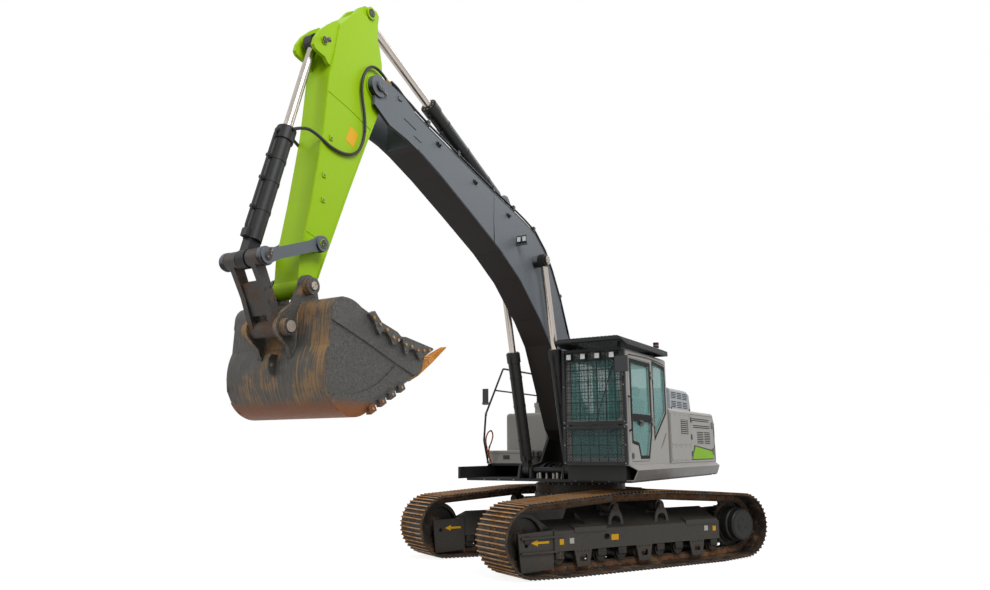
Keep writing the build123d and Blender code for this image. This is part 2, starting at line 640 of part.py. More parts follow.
# Engine hood: a raised louvred cover over the engine
HOOD_TOP = 2850
with BuildPart() as hood:
    with BuildSketch(side(HOOD_LEFT)):
        with BuildLine():
            Polyline((HOOD_FRONT, HOUSE_TOP + SEAT_GAP), (HOOD_FRONT, HOOD_TOP),
                     (HOOD_REAR + 330, HOOD_TOP), (HOOD_REAR + 90, HOOD_TOP - 90),
                     (HOOD_REAR, HOUSE_TOP + SEAT_GAP), close=True)
        make_face()
    extrude(amount=HOOD_LEFT - HOOD_RIGHT)
    fillet(hood.edges().filter_by(Axis.X).group_by(Axis.Z)[-1], 70)
    with BuildSketch(side(HOOD_LEFT - 25)):
        with BuildLine():
            Polyline((HOOD_FRONT - 25, HOUSE_TOP - 10), (HOOD_FRONT - 25, HOOD_TOP - 25),
                     (HOOD_REAR + 335, HOOD_TOP - 25), (HOOD_REAR + 112, HOOD_TOP - 108),
                     (HOOD_REAR + 26, HOUSE_TOP - 10), close=True)
        make_face()
    extrude(amount=HOOD_LEFT - HOOD_RIGHT - 50, mode=Mode.SUBTRACT)
    for column in range(3):
        for row in range(2):
            x = HOOD_FRONT - 90 - 340 * column
            z = HOUSE_TOP + 90 + 165 * row
            for slat in range(4):
                box((x - 280, x), (HOOD_RIGHT - 1, HOOD_LEFT + 1), (z + 32 * slat, z + 32 * slat + 16),
                    mode=Mode.SUBTRACT)
    flap_hinges_moving(HOOD_HINGE_Y, HOOD_HINGE_Z, HOOD_RIGHT + 10, HOOD_HINGES)
export(hood.part, "hood")

# ---------------------------------------------------------------- right side: tank and tool box
TANK_FRONT, TANK_REAR = -90, -1340
TANK_LEFT, TANK_RIGHT = -640, -1500
with BuildPart() as fuel_tank:
    box((TANK_REAR, TANK_FRONT), (TANK_RIGHT, TANK_LEFT), (DECK_FLOOR + SEAT_GAP, 2390))
    fillet(fuel_tank.edges().filter_by(Axis.X).group_by(Axis.Z)[-1], 60)
    fillet(fuel_tank.faces().sort_by(Axis.X)[-1].edges().filter_by(Axis.Y).sort_by(Axis.Z)[-1], 60)
    with BuildSketch(level(2380)):
        with Locations((-330, -950)):
            Circle(62)
    extrude(amount=150)
    with BuildSketch(level(2500)):
        with Locations((-330, -950)):
            Circle(74)
    extrude(amount=75)
export(fuel_tank.part, "fuel_tank")

BOX_FRONT, BOX_RIGHT, BOX_LEFT = 500, -1500, -800
BOX_TOP = 1690
LID_HINGE_Y, LID_HINGE_Z = BOX_LEFT + 25, BOX_TOP + 20
LID_HINGES = (60, 380)
with BuildPart() as tool_box:
    box((TANK_FRONT + 10, BOX_FRONT), (BOX_RIGHT, BOX_LEFT), (DECK_FLOOR + SEAT_GAP, BOX_TOP))
    box((TANK_FRONT + 50, BOX_FRONT - 40), (BOX_RIGHT + 40, BOX_LEFT - 40),
        (DECK_FLOOR + 40, BOX_TOP + 5), mode=Mode.SUBTRACT)
    for x in LID_HINGES:
        for near in (x - 3 * FLAP_HALF, x + FLAP_HALF):
            box((near, near + 2 * FLAP_HALF), (BOX_LEFT - 5, LID_HINGE_Y), (BOX_TOP - 60, BOX_TOP - 20))
    flap_hinges_fixed(LID_HINGE_Y, LID_HINGE_Z, BOX_TOP - 60, LID_HINGES)
export(tool_box.part, "tool_box")
with BuildPart() as tool_lid:
    box((TANK_FRONT + 15, BOX_FRONT + 20), (BOX_RIGHT - 10, BOX_LEFT + 10),
        (BOX_TOP + SEAT_GAP, BOX_TOP + 40))
    fillet(tool_lid.edges().filter_by(Axis.Y).group_by(Axis.Z)[-1], 15)
    flap_hinges_moving(LID_HINGE_Y, LID_HINGE_Z, BOX_LEFT - 15, LID_HINGES)
export(tool_lid.part, "tool_lid")

# ---------------------------------------------------------------- cab
DOOR_OPENING = [(1435, 1560), (1435, 3085), (500, 3085), (500, 1960), (640, 1600), (700, 1560)]
QUARTER_WINDOW = [(400, 3085), (-150, 3040), (-150, 2330), (400, 1930)]
PILLAR = 45
CAB_HINGE_X = 494
CAB_HINGES = (2150, 2880)
LOUVRES = 5
with BuildPart() as cab:
    with BuildSketch(level(DECK_FLOOR + SEAT_GAP)):
        with Locations(((CAB_FRONT + CAB_REAR) / 2, (CAB_LEFT + CAB_RIGHT) / 2)):
            RectangleRounded(CAB_FRONT - CAB_REAR, CAB_LEFT - CAB_RIGHT, 70)
    extrude(amount=CAB_TOP - DECK_FLOOR - SEAT_GAP)
    roof_rim = cab.faces().sort_by(Axis.Z)[-1].edges()
    fillet(roof_rim, 45)
    box((CAB_REAR + PILLAR, CAB_FRONT - PILLAR), (CAB_RIGHT + PILLAR, CAB_LEFT - PILLAR),
        (DECK_FLOOR + 40, CAB_TOP - 60), mode=Mode.SUBTRACT)
    plate(DOOR_OPENING, CAB_LEFT + 10, CAB_LEFT - 100, corner=40, mode=Mode.SUBTRACT)
    plate(QUARTER_WINDOW, CAB_LEFT + 10, CAB_LEFT - 100, corner=25, mode=Mode.SUBTRACT)
    # right side windows
    plate([(1480, 1800), (1480, 3085), (500, 3085), (500, 1800)],
          CAB_RIGHT + 100, CAB_RIGHT - 10, corner=40, mode=Mode.SUBTRACT)
    plate([(400, 2000), (400, 3085), (-180, 3085), (-180, 2000)],
          CAB_RIGHT + 100, CAB_RIGHT - 10, corner=40, mode=Mode.SUBTRACT)
    for x, z_low, z_high in ((CAB_FRONT - 100, 2160, 3080), (CAB_FRONT - 100, 1610, 2080),
                             (CAB_REAR - 20, 2250, 3080)):
        with BuildSketch(front(x)):
            with Locations(((CAB_LEFT + CAB_RIGHT) / 2, (z_low + z_high) / 2)):
                RectangleRounded(CAB_LEFT - CAB_RIGHT - 190, z_high - z_low, 60)
        extrude(amount=120, mode=Mode.SUBTRACT)
    hinge_fixed(CAB_HINGE_X, CAB_LEFT, 1, CAB_HINGES)
    # Slanted louvres low in the rear corner, pressed half-way through the wall
    for slot in range(LOUVRES):
        x, z = 150 - 34 * slot, 1750 + 26 * slot
        plate([(x, z), (x - 20, z - 20), (x - 170, z + 130), (x - 150, z + 150)],
              CAB_LEFT + 5, CAB_LEFT - PILLAR / 2, corner=8, mode=Mode.SUBTRACT)
export(cab.part, "cab")

PANE = 8
PANE_GAP = SEAT_GAP
with BuildPart() as cab_glass:
    for x, z_low, z_high in ((CAB_FRONT - 26, 2160, 3080), (CAB_FRONT - 26, 1610, 2080),
                             (CAB_REAR + 18, 2250, 3080)):
        with BuildSketch(front(x)):
            with Locations(((CAB_LEFT + CAB_RIGHT) / 2, (z_low + z_high) / 2)):
                RectangleRounded(CAB_LEFT - CAB_RIGHT - 190 - 2 * PANE_GAP,
                                 z_high - z_low - 2 * PANE_GAP, 60 - PANE_GAP)
        extrude(amount=PANE)
    for outline, y, corner in (
        (QUARTER_WINDOW, CAB_LEFT - 18, 25),
        ([(1480, 1800), (1480, 3085), (500, 3085), (500, 1800)], CAB_RIGHT + 26, 40),
        ([(400, 2000), (400, 3085), (-180, 3085), (-180, 2000)], CAB_RIGHT + 26, 40),
    ):
        with BuildSketch(side(y)) as pane:
            with BuildLine():
                Polyline(*outline, close=True)
            make_face()
            fillet(pane.vertices(), corner)
            offset(amount=-PANE_GAP, mode=Mode.REPLACE)
        extrude(amount=PANE)
export(cab_glass.part, "cab_glass")

with BuildPart() as cab_door:
    with BuildSketch(side(CAB_LEFT)) as leaf:
        with BuildLine():
            Polyline(*DOOR_OPENING, close=True)
        make_face()
        fillet(leaf.vertices(), 40)
        offset(amount=-RUNNING_GAP - 1, mode=Mode.REPLACE)
    extrude(amount=PILLAR)
    plate([(1360, 2250), (1360, 3010), (580, 3010), (580, 2250)],
          CAB_LEFT + 10, CAB_LEFT - 100, corner=70, mode=Mode.SUBTRACT)
    plate([(1360, 1860), (1360, 2150), (580, 2150), (580, 1990), (715, 1640), (1040, 1640),
           (1120, 1830)],
          CAB_LEFT + 10, CAB_LEFT - 100, corner=30, mode=Mode.SUBTRACT)
    hinge_moving(CAB_HINGE_X, CAB_LEFT, 1, CAB_HINGES)
export(cab_door.part, "cab_door")
with BuildPart() as door_glass:
    for outline, corner in (
        ([(1360, 2250), (1360, 3010), (580, 3010), (580, 2250)], 70),
        ([(1360, 1860), (1360, 2150), (580, 2150), (580, 1990), (715, 1640), (1040, 1640),
          (1120, 1830)], 30),
    ):
        with BuildSketch(side(CAB_LEFT - 18)) as pane:
            with BuildLine():
                Polyline(*outline, close=True)
            make_face()
            fillet(pane.vertices(), corner)
            offset(amount=-PANE_GAP, mode=Mode.REPLACE)
        extrude(amount=PANE)
export(door_glass.part, "door_glass")

# Seat and consoles
with BuildPart() as cab_seat:
    seat_y = (CAB_LEFT + CAB_RIGHT) / 2
    box((250, 780), (seat_y - 230, seat_y + 230), (DECK_FLOOR + 40 + SEAT_GAP, 1900))
    box((230, 790), (seat_y - 260, seat_y + 260), (1900, 2030))
    plate([(230, 1990), (60, 2720), (150, 2760), (210, 2740), (380, 2030)],
          seat_y + 250, seat_y - 250, corner=20)
    for y in (seat_y - 340, seat_y + 280):
        box((300, 980), (y, y + 60), (1990, 2060))
        box((300, 420), (y, y + 60), (DECK_FLOOR + 40 + SEAT_GAP, 1990))
export(cab_seat.part, "cab_seat")

# Guards of the cab
GUARD_FRONT = 1655
LAMP_Y = (640, 870, 1100, 1330)
LAMP_RAIL, LAMP_HALF, LAMP_DEPTH = 3040, 45, 45
with BuildPart() as front_guard:
    for z_low, z_high in ((2095, 3215), (1520, 2075)):
        with BuildSketch(front(GUARD_FRONT - 45)):
            with Locations(((CAB_LEFT + CAB_RIGHT) / 2 + 6, (z_low + z_high) / 2)):
                Rectangle(1006, z_high - z_low)
                Rectangle(1006 - 90, z_high - z_low - 90, mode=Mode.SUBTRACT)
        extrude(amount=45)
        bars = round((z_high - z_low) / 150)
        for bar in range(1, bars):
            z = z_low + (z_high - z_low) * bar / bars
            box((GUARD_FRONT - 30, GUARD_FRONT - 20), (CAB_RIGHT + 20, CAB_LEFT - 20), (z - 5, z + 5))
        for bar in range(1, 7):
            y = CAB_RIGHT + (CAB_LEFT - CAB_RIGHT) * bar / 7
            box((GUARD_FRONT - 20, GUARD_FRONT - 10), (y - 5, y + 5), (z_low + 20, z_high - 20))
    # Work lamps on a rail across the upper screen
    box((GUARD_FRONT - 25, GUARD_FRONT - 5), (CAB_RIGHT + 20, CAB_LEFT - 20),
        (LAMP_RAIL, LAMP_RAIL + 25))
    for y in LAMP_Y:
        box((GUARD_FRONT - 15, GUARD_FRONT + LAMP_DEPTH), (y - LAMP_HALF, y + LAMP_HALF),
            (LAMP_RAIL + 15, LAMP_RAIL + 15 + 2 * LAMP_HALF))
    for y in (CAB_RIGHT + 100, CAB_LEFT - 100):
        box((CAB_FRONT + SEAT_GAP, GUARD_FRONT - 30), (y - 20, y + 20), (2060, 2110))
        box((CAB_FRONT + SEAT_GAP, GUARD_FRONT - 30), (y - 20, y + 20), (3130, 3185))
        box((CAB_FRONT + SEAT_GAP, GUARD_FRONT - 30), (y - 20, y + 20), (1525, 1560))
export(front_guard.part, "front_guard")

TOP_GUARD = 3350
GUARD_REAR_X, GUARD_FRONT_X = -160, 1900
GUARD_RIGHT, GUARD_LEFT = 500, 1570
GUARD_BARS = 14
BEACON = (-240, 1350)
with BuildPart() as top_guard:
    # Sides folded inwards, higher at the back than the front bar
    with BuildSketch(side(GUARD_LEFT)):
        Polygon((GUARD_REAR_X, CAB_TOP + 40), (GUARD_FRONT_X - 230, CAB_TOP + 40),
                (GUARD_FRONT_X, TOP_GUARD - 55), (GUARD_FRONT_X, TOP_GUARD),
                (GUARD_REAR_X + 60, TOP_GUARD), (GUARD_REAR_X, TOP_GUARD - 45), align=None)
    extrude(amount=GUARD_LEFT - GUARD_RIGHT)
    chamfer(top_guard.edges().filter_by(Axis.X).group_by(Axis.Z)[-1], 60, 30)
    box((GUARD_REAR_X + 40, GUARD_FRONT_X - 60), (GUARD_RIGHT + 45, GUARD_LEFT - 45),
        (CAB_TOP, TOP_GUARD - 40), mode=Mode.SUBTRACT)
    box((GUARD_REAR_X + 110, GUARD_FRONT_X - 70), (GUARD_RIGHT + 90, GUARD_LEFT - 90),
        (CAB_TOP, TOP_GUARD + 5), mode=Mode.SUBTRACT)
    for number in range(GUARD_BARS):
        y = GUARD_RIGHT + 90 + (GUARD_LEFT - GUARD_RIGHT - 180) * (number + 0.5) / GUARD_BARS
        box((GUARD_REAR_X + 70, GUARD_FRONT_X - 20), (y - 14, y + 14),
            (TOP_GUARD - 30, TOP_GUARD + 6))
    for x in (-40, 1400):
        for y in (CAB_RIGHT + 120, CAB_LEFT - 160):
            box((x, x + 60), (y, y + 40), (CAB_TOP + SEAT_GAP, TOP_GUARD - 20))
    # Beacon on a bracket behind the guard
    box((BEACON[0] - 20, GUARD_REAR_X + 10), (BEACON[1] - 20, BEACON[1] + 20),
        (TOP_GUARD - 70, TOP_GUARD - 60))
    upright(*BEACON, TOP_GUARD - 65, TOP_GUARD + 60, 12)
    upright(*BEACON, TOP_GUARD + 60, TOP_GUARD + 150, 48)
export(top_guard.part, "top_guard")

# ---------------------------------------------------------------- mirrors and handrails
RAIL_TUBE = 17
HANDRAIL_Y = -1440
with BuildPart() as mirrors:
    box((1700, 1745), (1395, 1590), (2840, 3070))
    with BuildSketch(front(GUARD_FRONT + SEAT_GAP)):
        with Locations((1484, 2800)):
            Circle(14)
    extrude(amount=55)
    box((1690, 1715), (1470, 1498), (2786, 2850))
    box((380, 420), (-1680, -1580), (2530, 2815))
    box((390, 570), (-1600, -1580), (2540, 2560))
    box((540, 570), (-1600, HANDRAIL_Y - RAIL_TUBE - SEAT_GAP), (2540, 2560))
export(mirrors.part, "mirrors")

HANDRAILS = (
    # each run is a list of X, Z corners
    ((630, 1514), (640, 1560), (760, 1900), (700, 2350), (90, 3190), (-1240, 3190), (-1240, 2390)),
)
with BuildPart() as handrails:
    for run in HANDRAILS:
        with BuildLine():
            path = FilletPolyline(*[(SLEW_X + x, HANDRAIL_Y, z) for x, z in run], radius=60)
        with BuildSketch(Plane(origin=path @ 0, z_dir=path % 0)):
            Circle(RAIL_TUBE)
        sweep()
    with BuildSketch(front(-1240)):
        with Locations((HANDRAIL_Y, 2780)):
            Circle(RAIL_TUBE - 3)
    extrude(amount=1620)
export(handrails.part, "handrails")

# ---------------------------------------------------------------- boom
PIN_FIT = 0.5  # radial play of a pin in its bore
FOOT_PIN, LIFT_PIN, TIP_PIN = 62, 45, 60
BOOM_PLATE = 22
BOOM_BOX_END = 5110  # the fork's cheeks stand free beyond it, so that the arm can swing up
CHEEK_IN = 185
LAMP_X, LAMP_LOW = 2550, 4740
BOOM_BOX = [
    # up the front of the foot, along the lower side, back along the upper side
    (230, 1903), (640, 1880), (836, 2055), (1493, 3346), (1819, 3696), (2443, 4209),
    (3025, 4537), (3821, 4888), (4534, 5189), (5011, 5363), (BOOM_BOX_END, 5391),
    (BOOM_BOX_END, 5851), (5065, 5831), (4766, 5745), (4072, 5576), (3158, 5353), (2575, 5226),
    (2265, 5151), (1941, 5056), (1609, 4824), (1373, 4544), (1101, 4130), (828, 3588),
    (61, 2106),
]
BOOM_CHEEK = [
    (5011, 5363), (5235, 5426), (5320, 5440), (5565, 5481), (5845, 5633), (5845, 5985),
    (5622, 6003), (5488, 5984), (5311, 5942), (5065, 5831), (5011, 5816),
]


def outline(points):
    """Closed face of a list of points, in the current sketch."""
    Polygon(*points, align=None)


with BuildPart() as boom:
    with BuildSketch(side(BOOM_HALF)) as section:
        outline(BOOM_BOX)
    extrude(section.sketch, amount=2 * BOOM_HALF)
    boss(BOOM_FOOT, 150, BOOM_HALF + 20, -BOOM_HALF - 20)
    with BuildSketch(side(BOOM_HALF - BOOM_PLATE)) as hollow:
        outline(BOOM_BOX)
        offset(amount=-BOOM_PLATE, mode=Mode.REPLACE)
        with Locations(BOOM_FOOT):
            Circle(150, mode=Mode.SUBTRACT)
        with Locations((1955, 4587)):
            Circle(120, mode=Mode.SUBTRACT)
    extrude(hollow.sketch, amount=2 * (BOOM_HALF - BOOM_PLATE), mode=Mode.SUBTRACT)
    for y_left in (BOOM_HALF, -CHEEK_IN):
        plate(BOOM_CHEEK, y_left, y_left - BOOM_HALF + CHEEK_IN, corner=0)
    boss(BOOM_TIP, 130, BOOM_HALF + 25, CHEEK_IN)
    boss(BOOM_TIP, 130, -CHEEK_IN, -BOOM_HALF - 25)
    boss(BOOM_TIP, TIP_PIN, BOOM_HALF + 55, -BOOM_HALF - 55)
    boss(BOOM_FOOT, FOOT_PIN + PIN_FIT, 400, -400, mode=Mode.SUBTRACT)
    for y_left in (LIFT_Y - 55 - SEAT_GAP, -BOOM_HALF + 10):
        boss(LIFT_EYE, 95, y_left, y_left - (LIFT_Y - 55 - SEAT_GAP - BOOM_HALF + 10))
    # Ears of the arm cylinder's foot
    for y_left in (110, -70):
        plate([(2360, 5170), (2540, 5440), (2590, 5480), (2680, 5480), (2730, 5430),
               (2850, 5270)], y_left, y_left - 40, corner=15)
    boss(CROWD_FOOT, LIFT_PIN, 130, -130)
    # Two work lamps on a bracket low on the cab side
    box((LAMP_X - 30, LAMP_X), (BOOM_HALF - 5, BOOM_HALF + 190), (LAMP_LOW - 30, LAMP_LOW))
    for y in (BOOM_HALF + 60, BOOM_HALF + 150):
        box((LAMP_X - 45, LAMP_X + 15), (y - 38, y + 38), (LAMP_LOW, LAMP_LOW + 110))
export(boom.part, "boom")

# ---------------------------------------------------------------- arm
ARM_PLATE = 18
CROWD_CAP = 135
ARM_BOX = [
    (5654, 6056), (5669, 5664), (5855, 5230), (6178, 4450), (6490, 3657), (6578, 3429),
    (6668, 3268), (6852, 3268), (6843, 3633), (6812, 3794), (6727, 4236), (6653, 4693),
    (6599, 5046), (6545, 5699), (6469, 6029), (6406, 6362), (6200, 6604), (6045, 6699),
    (5959, 6703), (5877, 6633), (5794, 6535), (5719, 6417), (5671, 6229),
]
ARM_VOID = [
    (5684, 6080), (5738, 5653), (5861, 5237), (6195, 4457), (6507, 3664), (6610, 3460),
    (6800, 3460), (6824, 3633), (6794, 3790), (6709, 4232), (6635, 4690), (6581, 5044),
    (6527, 5697), (6451, 6025), (6389, 6350), (6180, 6550), (5960, 6420), (5800, 6300),
    (5740, 6200),
]
with BuildPart() as arm:
    with BuildSketch(side(ARM_HALF)) as section:
        outline(ARM_BOX)
    extrude(section.sketch, amount=2 * ARM_HALF)
    # Ears of the arm cylinder's rod
    for y_left in (110, -70):
        plate([(5690, 6400), (5682, 6500), (5695, 6729), (5680, 6852), (5722, 6901),
               (5823, 6898), (5939, 6857), (6033, 6793), (6139, 6653), (6150, 6500)],
              y_left, y_left - 40)
    for y_left in (CROWD_CAP, -110):
        boss(CROWD_EYE, 75, y_left, y_left - CROWD_CAP + 110)
    with BuildSketch(side(70)) as slot:
        outline([(5600, 6150), (5690, 6250), (5800, 6480), (5940, 6600), (6060, 6640),
                 (6060, 7100), (5500, 7100)])
    extrude(slot.sketch, amount=140, mode=Mode.SUBTRACT)
    with BuildSketch(side(ARM_HALF - ARM_PLATE)) as hollow:
        outline(ARM_VOID)
        with Locations(BOOM_TIP):
            Circle(125, mode=Mode.SUBTRACT)
        with Locations(GUIDE_PIN):
            Circle(80, mode=Mode.SUBTRACT)
    extrude(hollow.sketch, amount=2 * (ARM_HALF - ARM_PLATE), mode=Mode.SUBTRACT)
    boss(BOOM_TIP, 145, CHEEK_IN - RUNNING_GAP, -CHEEK_IN + RUNNING_GAP)
    boss(BUCKET_PIN, 105, 172, -172)
    boss(GUIDE_PIN, 80, 220, -220)
    boss(GUIDE_PIN, LIFT_PIN, 298, -298)
    # Ears of the bucket cylinder's rod
    for y_left in (155, -110):
        plate([(6400, 5780), (6557, 5841), (6602, 5890), (6685, 5902), (6752, 5920),
               (6778, 5958), (6759, 6043), (6684, 6169), (6557, 6305), (6441, 6397),
               (6340, 6380)], y_left, y_left - 45)
    boss(CURL_EYE, LIFT_PIN, 172, -172)
    boss(BOOM_TIP, TIP_PIN + PIN_FIT, 300, -300, mode=Mode.SUBTRACT)
    boss(BUCKET_PIN, LIFT_PIN + PIN_FIT, 300, -300, mode=Mode.SUBTRACT)
export(arm.part, "arm")


# ---------------------------------------------------------------- cylinders
def cylinder_axis(foot, eye, y):
    """Plane at the foot pin, its normal running to the eye."""
    run = (eye[0] - foot[0], 0, eye[1] - foot[1])
    return Plane(origin=(SLEW_X + foot[0], y, foot[1]), x_dir=(0, 1, 0), z_dir=run)


def bar(axis, start, end, radius, mode=Mode.ADD):
    """Round bar along an axis between two distances from its foot."""
    with BuildSketch(axis.offset(start)) as disc:
        Circle(radius)
    extrude(disc.sketch, amount=end - start, mode=mode)


def pin_length(foot, eye):
    return math.hypot(eye[0] - foot[0], eye[1] - foot[1])


CYLINDERS = (
    # name, foot, eye, offsets, barrel radius, rod radius, then along the axis from the foot:
    # barrel's closed end, gland, rod's inner end; last the half-width of both eyes
    ("lift", LIFT_FOOT, LIFT_EYE, (LIFT_Y, -LIFT_Y), 95, 53, 165, 1881, 1170, 55),
    ("crowd", CROWD_FOOT, CROWD_EYE, (0,), 100, 58, 165, 2040, 1330, 60),
    ("curl", CURL_FOOT, CURL_EYE, (0,), 88, 50, 195, 1521, 1130, 55),
)
for name, foot, eye, offsets, barrel_radius, rod_radius, start, gland, inner, half in CYLINDERS:
    length = pin_length(foot, eye)
    with BuildPart() as barrel:
        for y in offsets:
            axis = cylinder_axis(foot, eye, y)
            boss(foot, 95, y + half, y - half)
            with BuildSketch(axis) as neck:
                Rectangle(2 * half, 130)
            extrude(neck.sketch, amount=start)
            bar(axis, start, gland, barrel_radius)
            bar(axis, gland - 160, gland - 10, barrel_radius + 14)
            boss(foot, LIFT_PIN + PIN_FIT, y + half + 5, y - half - 5, mode=Mode.SUBTRACT)
            bar(axis, start, gland + 5, rod_radius + PIN_FIT, mode=Mode.SUBTRACT)
    export(barrel.part, f"{name}_barrel")
    with BuildPart() as rod:
        for y in offsets:
            bar(cylinder_axis(foot, eye, y), inner, length - 60, rod_radius)
            boss(eye, 100, y + half, y - half)
            if y:
                out = math.copysign(half + 28, y)
                boss(eye, 70, max(y, y + out), min(y, y + out))
            if eye == CURL_EYE:
                boss(eye, LIFT_PIN + PIN_FIT, y + half + 5, y - half - 5, mode=Mode.SUBTRACT)
    export(rod.part, f"{name}_rod")

# ---------------------------------------------------------------- bucket linkage
GUIDE_OUT, GUIDE_IN = 266, 226
LINK_TUBE_OUT, LINK_TUBE_IN = 218, 70
LINK_NOSE = 172
GUIDE_BUSH = 290  # outer face of the guide links' bushings


def between(start, end, along, out):
    """Point near the line between two pins: a distance along it and one to its right."""
    length = pin_length(start, end)
    run_x, run_z = (end[0] - start[0]) / length, (end[1] - start[1]) / length
    return (start[0] + along * run_x + out * run_z, start[1] + along * run_z - out * run_x)


with BuildPart() as guide_links:
    guide_length = pin_length(GUIDE_PIN, CURL_FOOT)
    for y_left in (GUIDE_OUT, -GUIDE_IN):
        with BuildSketch(side(y_left)) as link:
            with Locations(GUIDE_PIN):
                Circle(86)
            with Locations(CURL_FOOT):
                Circle(92)
            outline([between(GUIDE_PIN, CURL_FOOT, along, out) for along, out in (
                (0, 76), (150, 58), (guide_length - 150, 58), (guide_length, 82),
                (guide_length, -82), (guide_length - 150, -58), (150, -58), (0, -76),
            )])
            with Locations(GUIDE_PIN):
                Circle(LIFT_PIN + PIN_FIT, mode=Mode.SUBTRACT)
        extrude(link.sketch, amount=GUIDE_OUT - GUIDE_IN)
    for pin, bore in ((GUIDE_PIN, LIFT_PIN + PIN_FIT), (CURL_FOOT, 0)):
        for y_left in (GUIDE_BUSH, -GUIDE_OUT):
            with BuildSketch(side(y_left)) as bush:
                with Locations(pin):
                    Circle(80)
                    if bore:
                        Circle(bore, mode=Mode.SUBTRACT)
            extrude(bush.sketch, amount=GUIDE_BUSH - GUIDE_OUT)
    # Stub pins: the bucket cylinder's own eye drifts between them as the bucket turns
    boss(CURL_FOOT, LIFT_PIN, GUIDE_BUSH + 8, LINK_TUBE_IN)
    boss(CURL_FOOT, LIFT_PIN, -LINK_TUBE_IN, -GUIDE_BUSH - 8)
export(guide_links.part, "guide_links")

with BuildPart() as bucket_link:
    link_length = pin_length(CURL_FOOT, LINK_PIN)
    for y_left in (LINK_TUBE_OUT, -LINK_TUBE_IN):
        with BuildSketch(side(y_left)) as tube:
            with Locations(CURL_FOOT):
                Circle(88)
        extrude(tube.sketch, amount=LINK_TUBE_OUT - LINK_TUBE_IN)
    boss(LINK_PIN, 88, LINK_NOSE, -LINK_NOSE)
    for y_left in (LINK_NOSE, -LINK_NOSE + 60):
        plate([between(CURL_FOOT, LINK_PIN, along, out) for along, out in (
            (40, -78), (40, 42), (link_length / 2, 40), (link_length, 44),
            (link_length, -86), (link_length / 2, -62),
        )], y_left, y_left - 60)
    plate([between(CURL_FOOT, LINK_PIN, along, out) for along, out in (
        (220, -45), (220, 34), (link_length - 150, 34), (link_length - 150, -50),
    )], LINK_NOSE - 10, -LINK_NOSE + 10)
    boss(CURL_FOOT, LIFT_PIN + PIN_FIT, 300, -300, mode=Mode.SUBTRACT)
    boss(LINK_PIN, LIFT_PIN + PIN_FIT, 300, -300, mode=Mode.SUBTRACT)
export(bucket_link.part, "bucket_link")

# ---------------------------------------------------------------- bucket
BUCKET_PLATE = 35
WRAPPER = 32
EAR_IN, EAR_OUT, EAR_BUSH = 178, 222, 290
WEAR_STRIPS = 4


LIP = (5470, 2565)
LIP_RUN = (-0.8861, 0.4636)  # outwards along the lip


def lip(out, up):
    """Point near the lip: a distance out towards the teeth and one up across the plate."""
    x = LIP[0] + out * LIP_RUN[0] + up * LIP_RUN[1]
    z = LIP[1] + out * LIP_RUN[1] - up * LIP_RUN[0]
    return (x, z)


def bucket_back():
    """Curve of the bucket's back from lip to top, in the current line builder."""
    Line((5470, 2565), (6330, 2115))
    ThreePointArc((6330, 2115), (6640, 2048), (6870, 2200))
    ThreePointArc((6870, 2200), (6952, 2440), (6900, 2700))
    Line((6900, 2700), (6885, 3040))
    ThreePointArc((6885, 3040), (6835, 3140), (6720, 3177))


def cheek_face():
    """Outline of the bucket's cheek."""
    with BuildSketch() as cheek:
        with BuildLine():
            bucket_back()
            ThreePointArc((6720, 3177), (6600, 3165), (6480, 3115))
            Polyline((6480, 3115), (5840, 2905), (5480, 2845), (5400, 2800), (5470, 2565))
        make_face()
    return cheek.sketch


def both_cheeks(face, inner, outer):
    """Extrude one flat shape on to both sides of the bucket."""
    for y_left in (outer, -inner):
        with BuildSketch(side(y_left)) as shape:
            add(face)
        extrude(shape.sketch, amount=outer - inner)


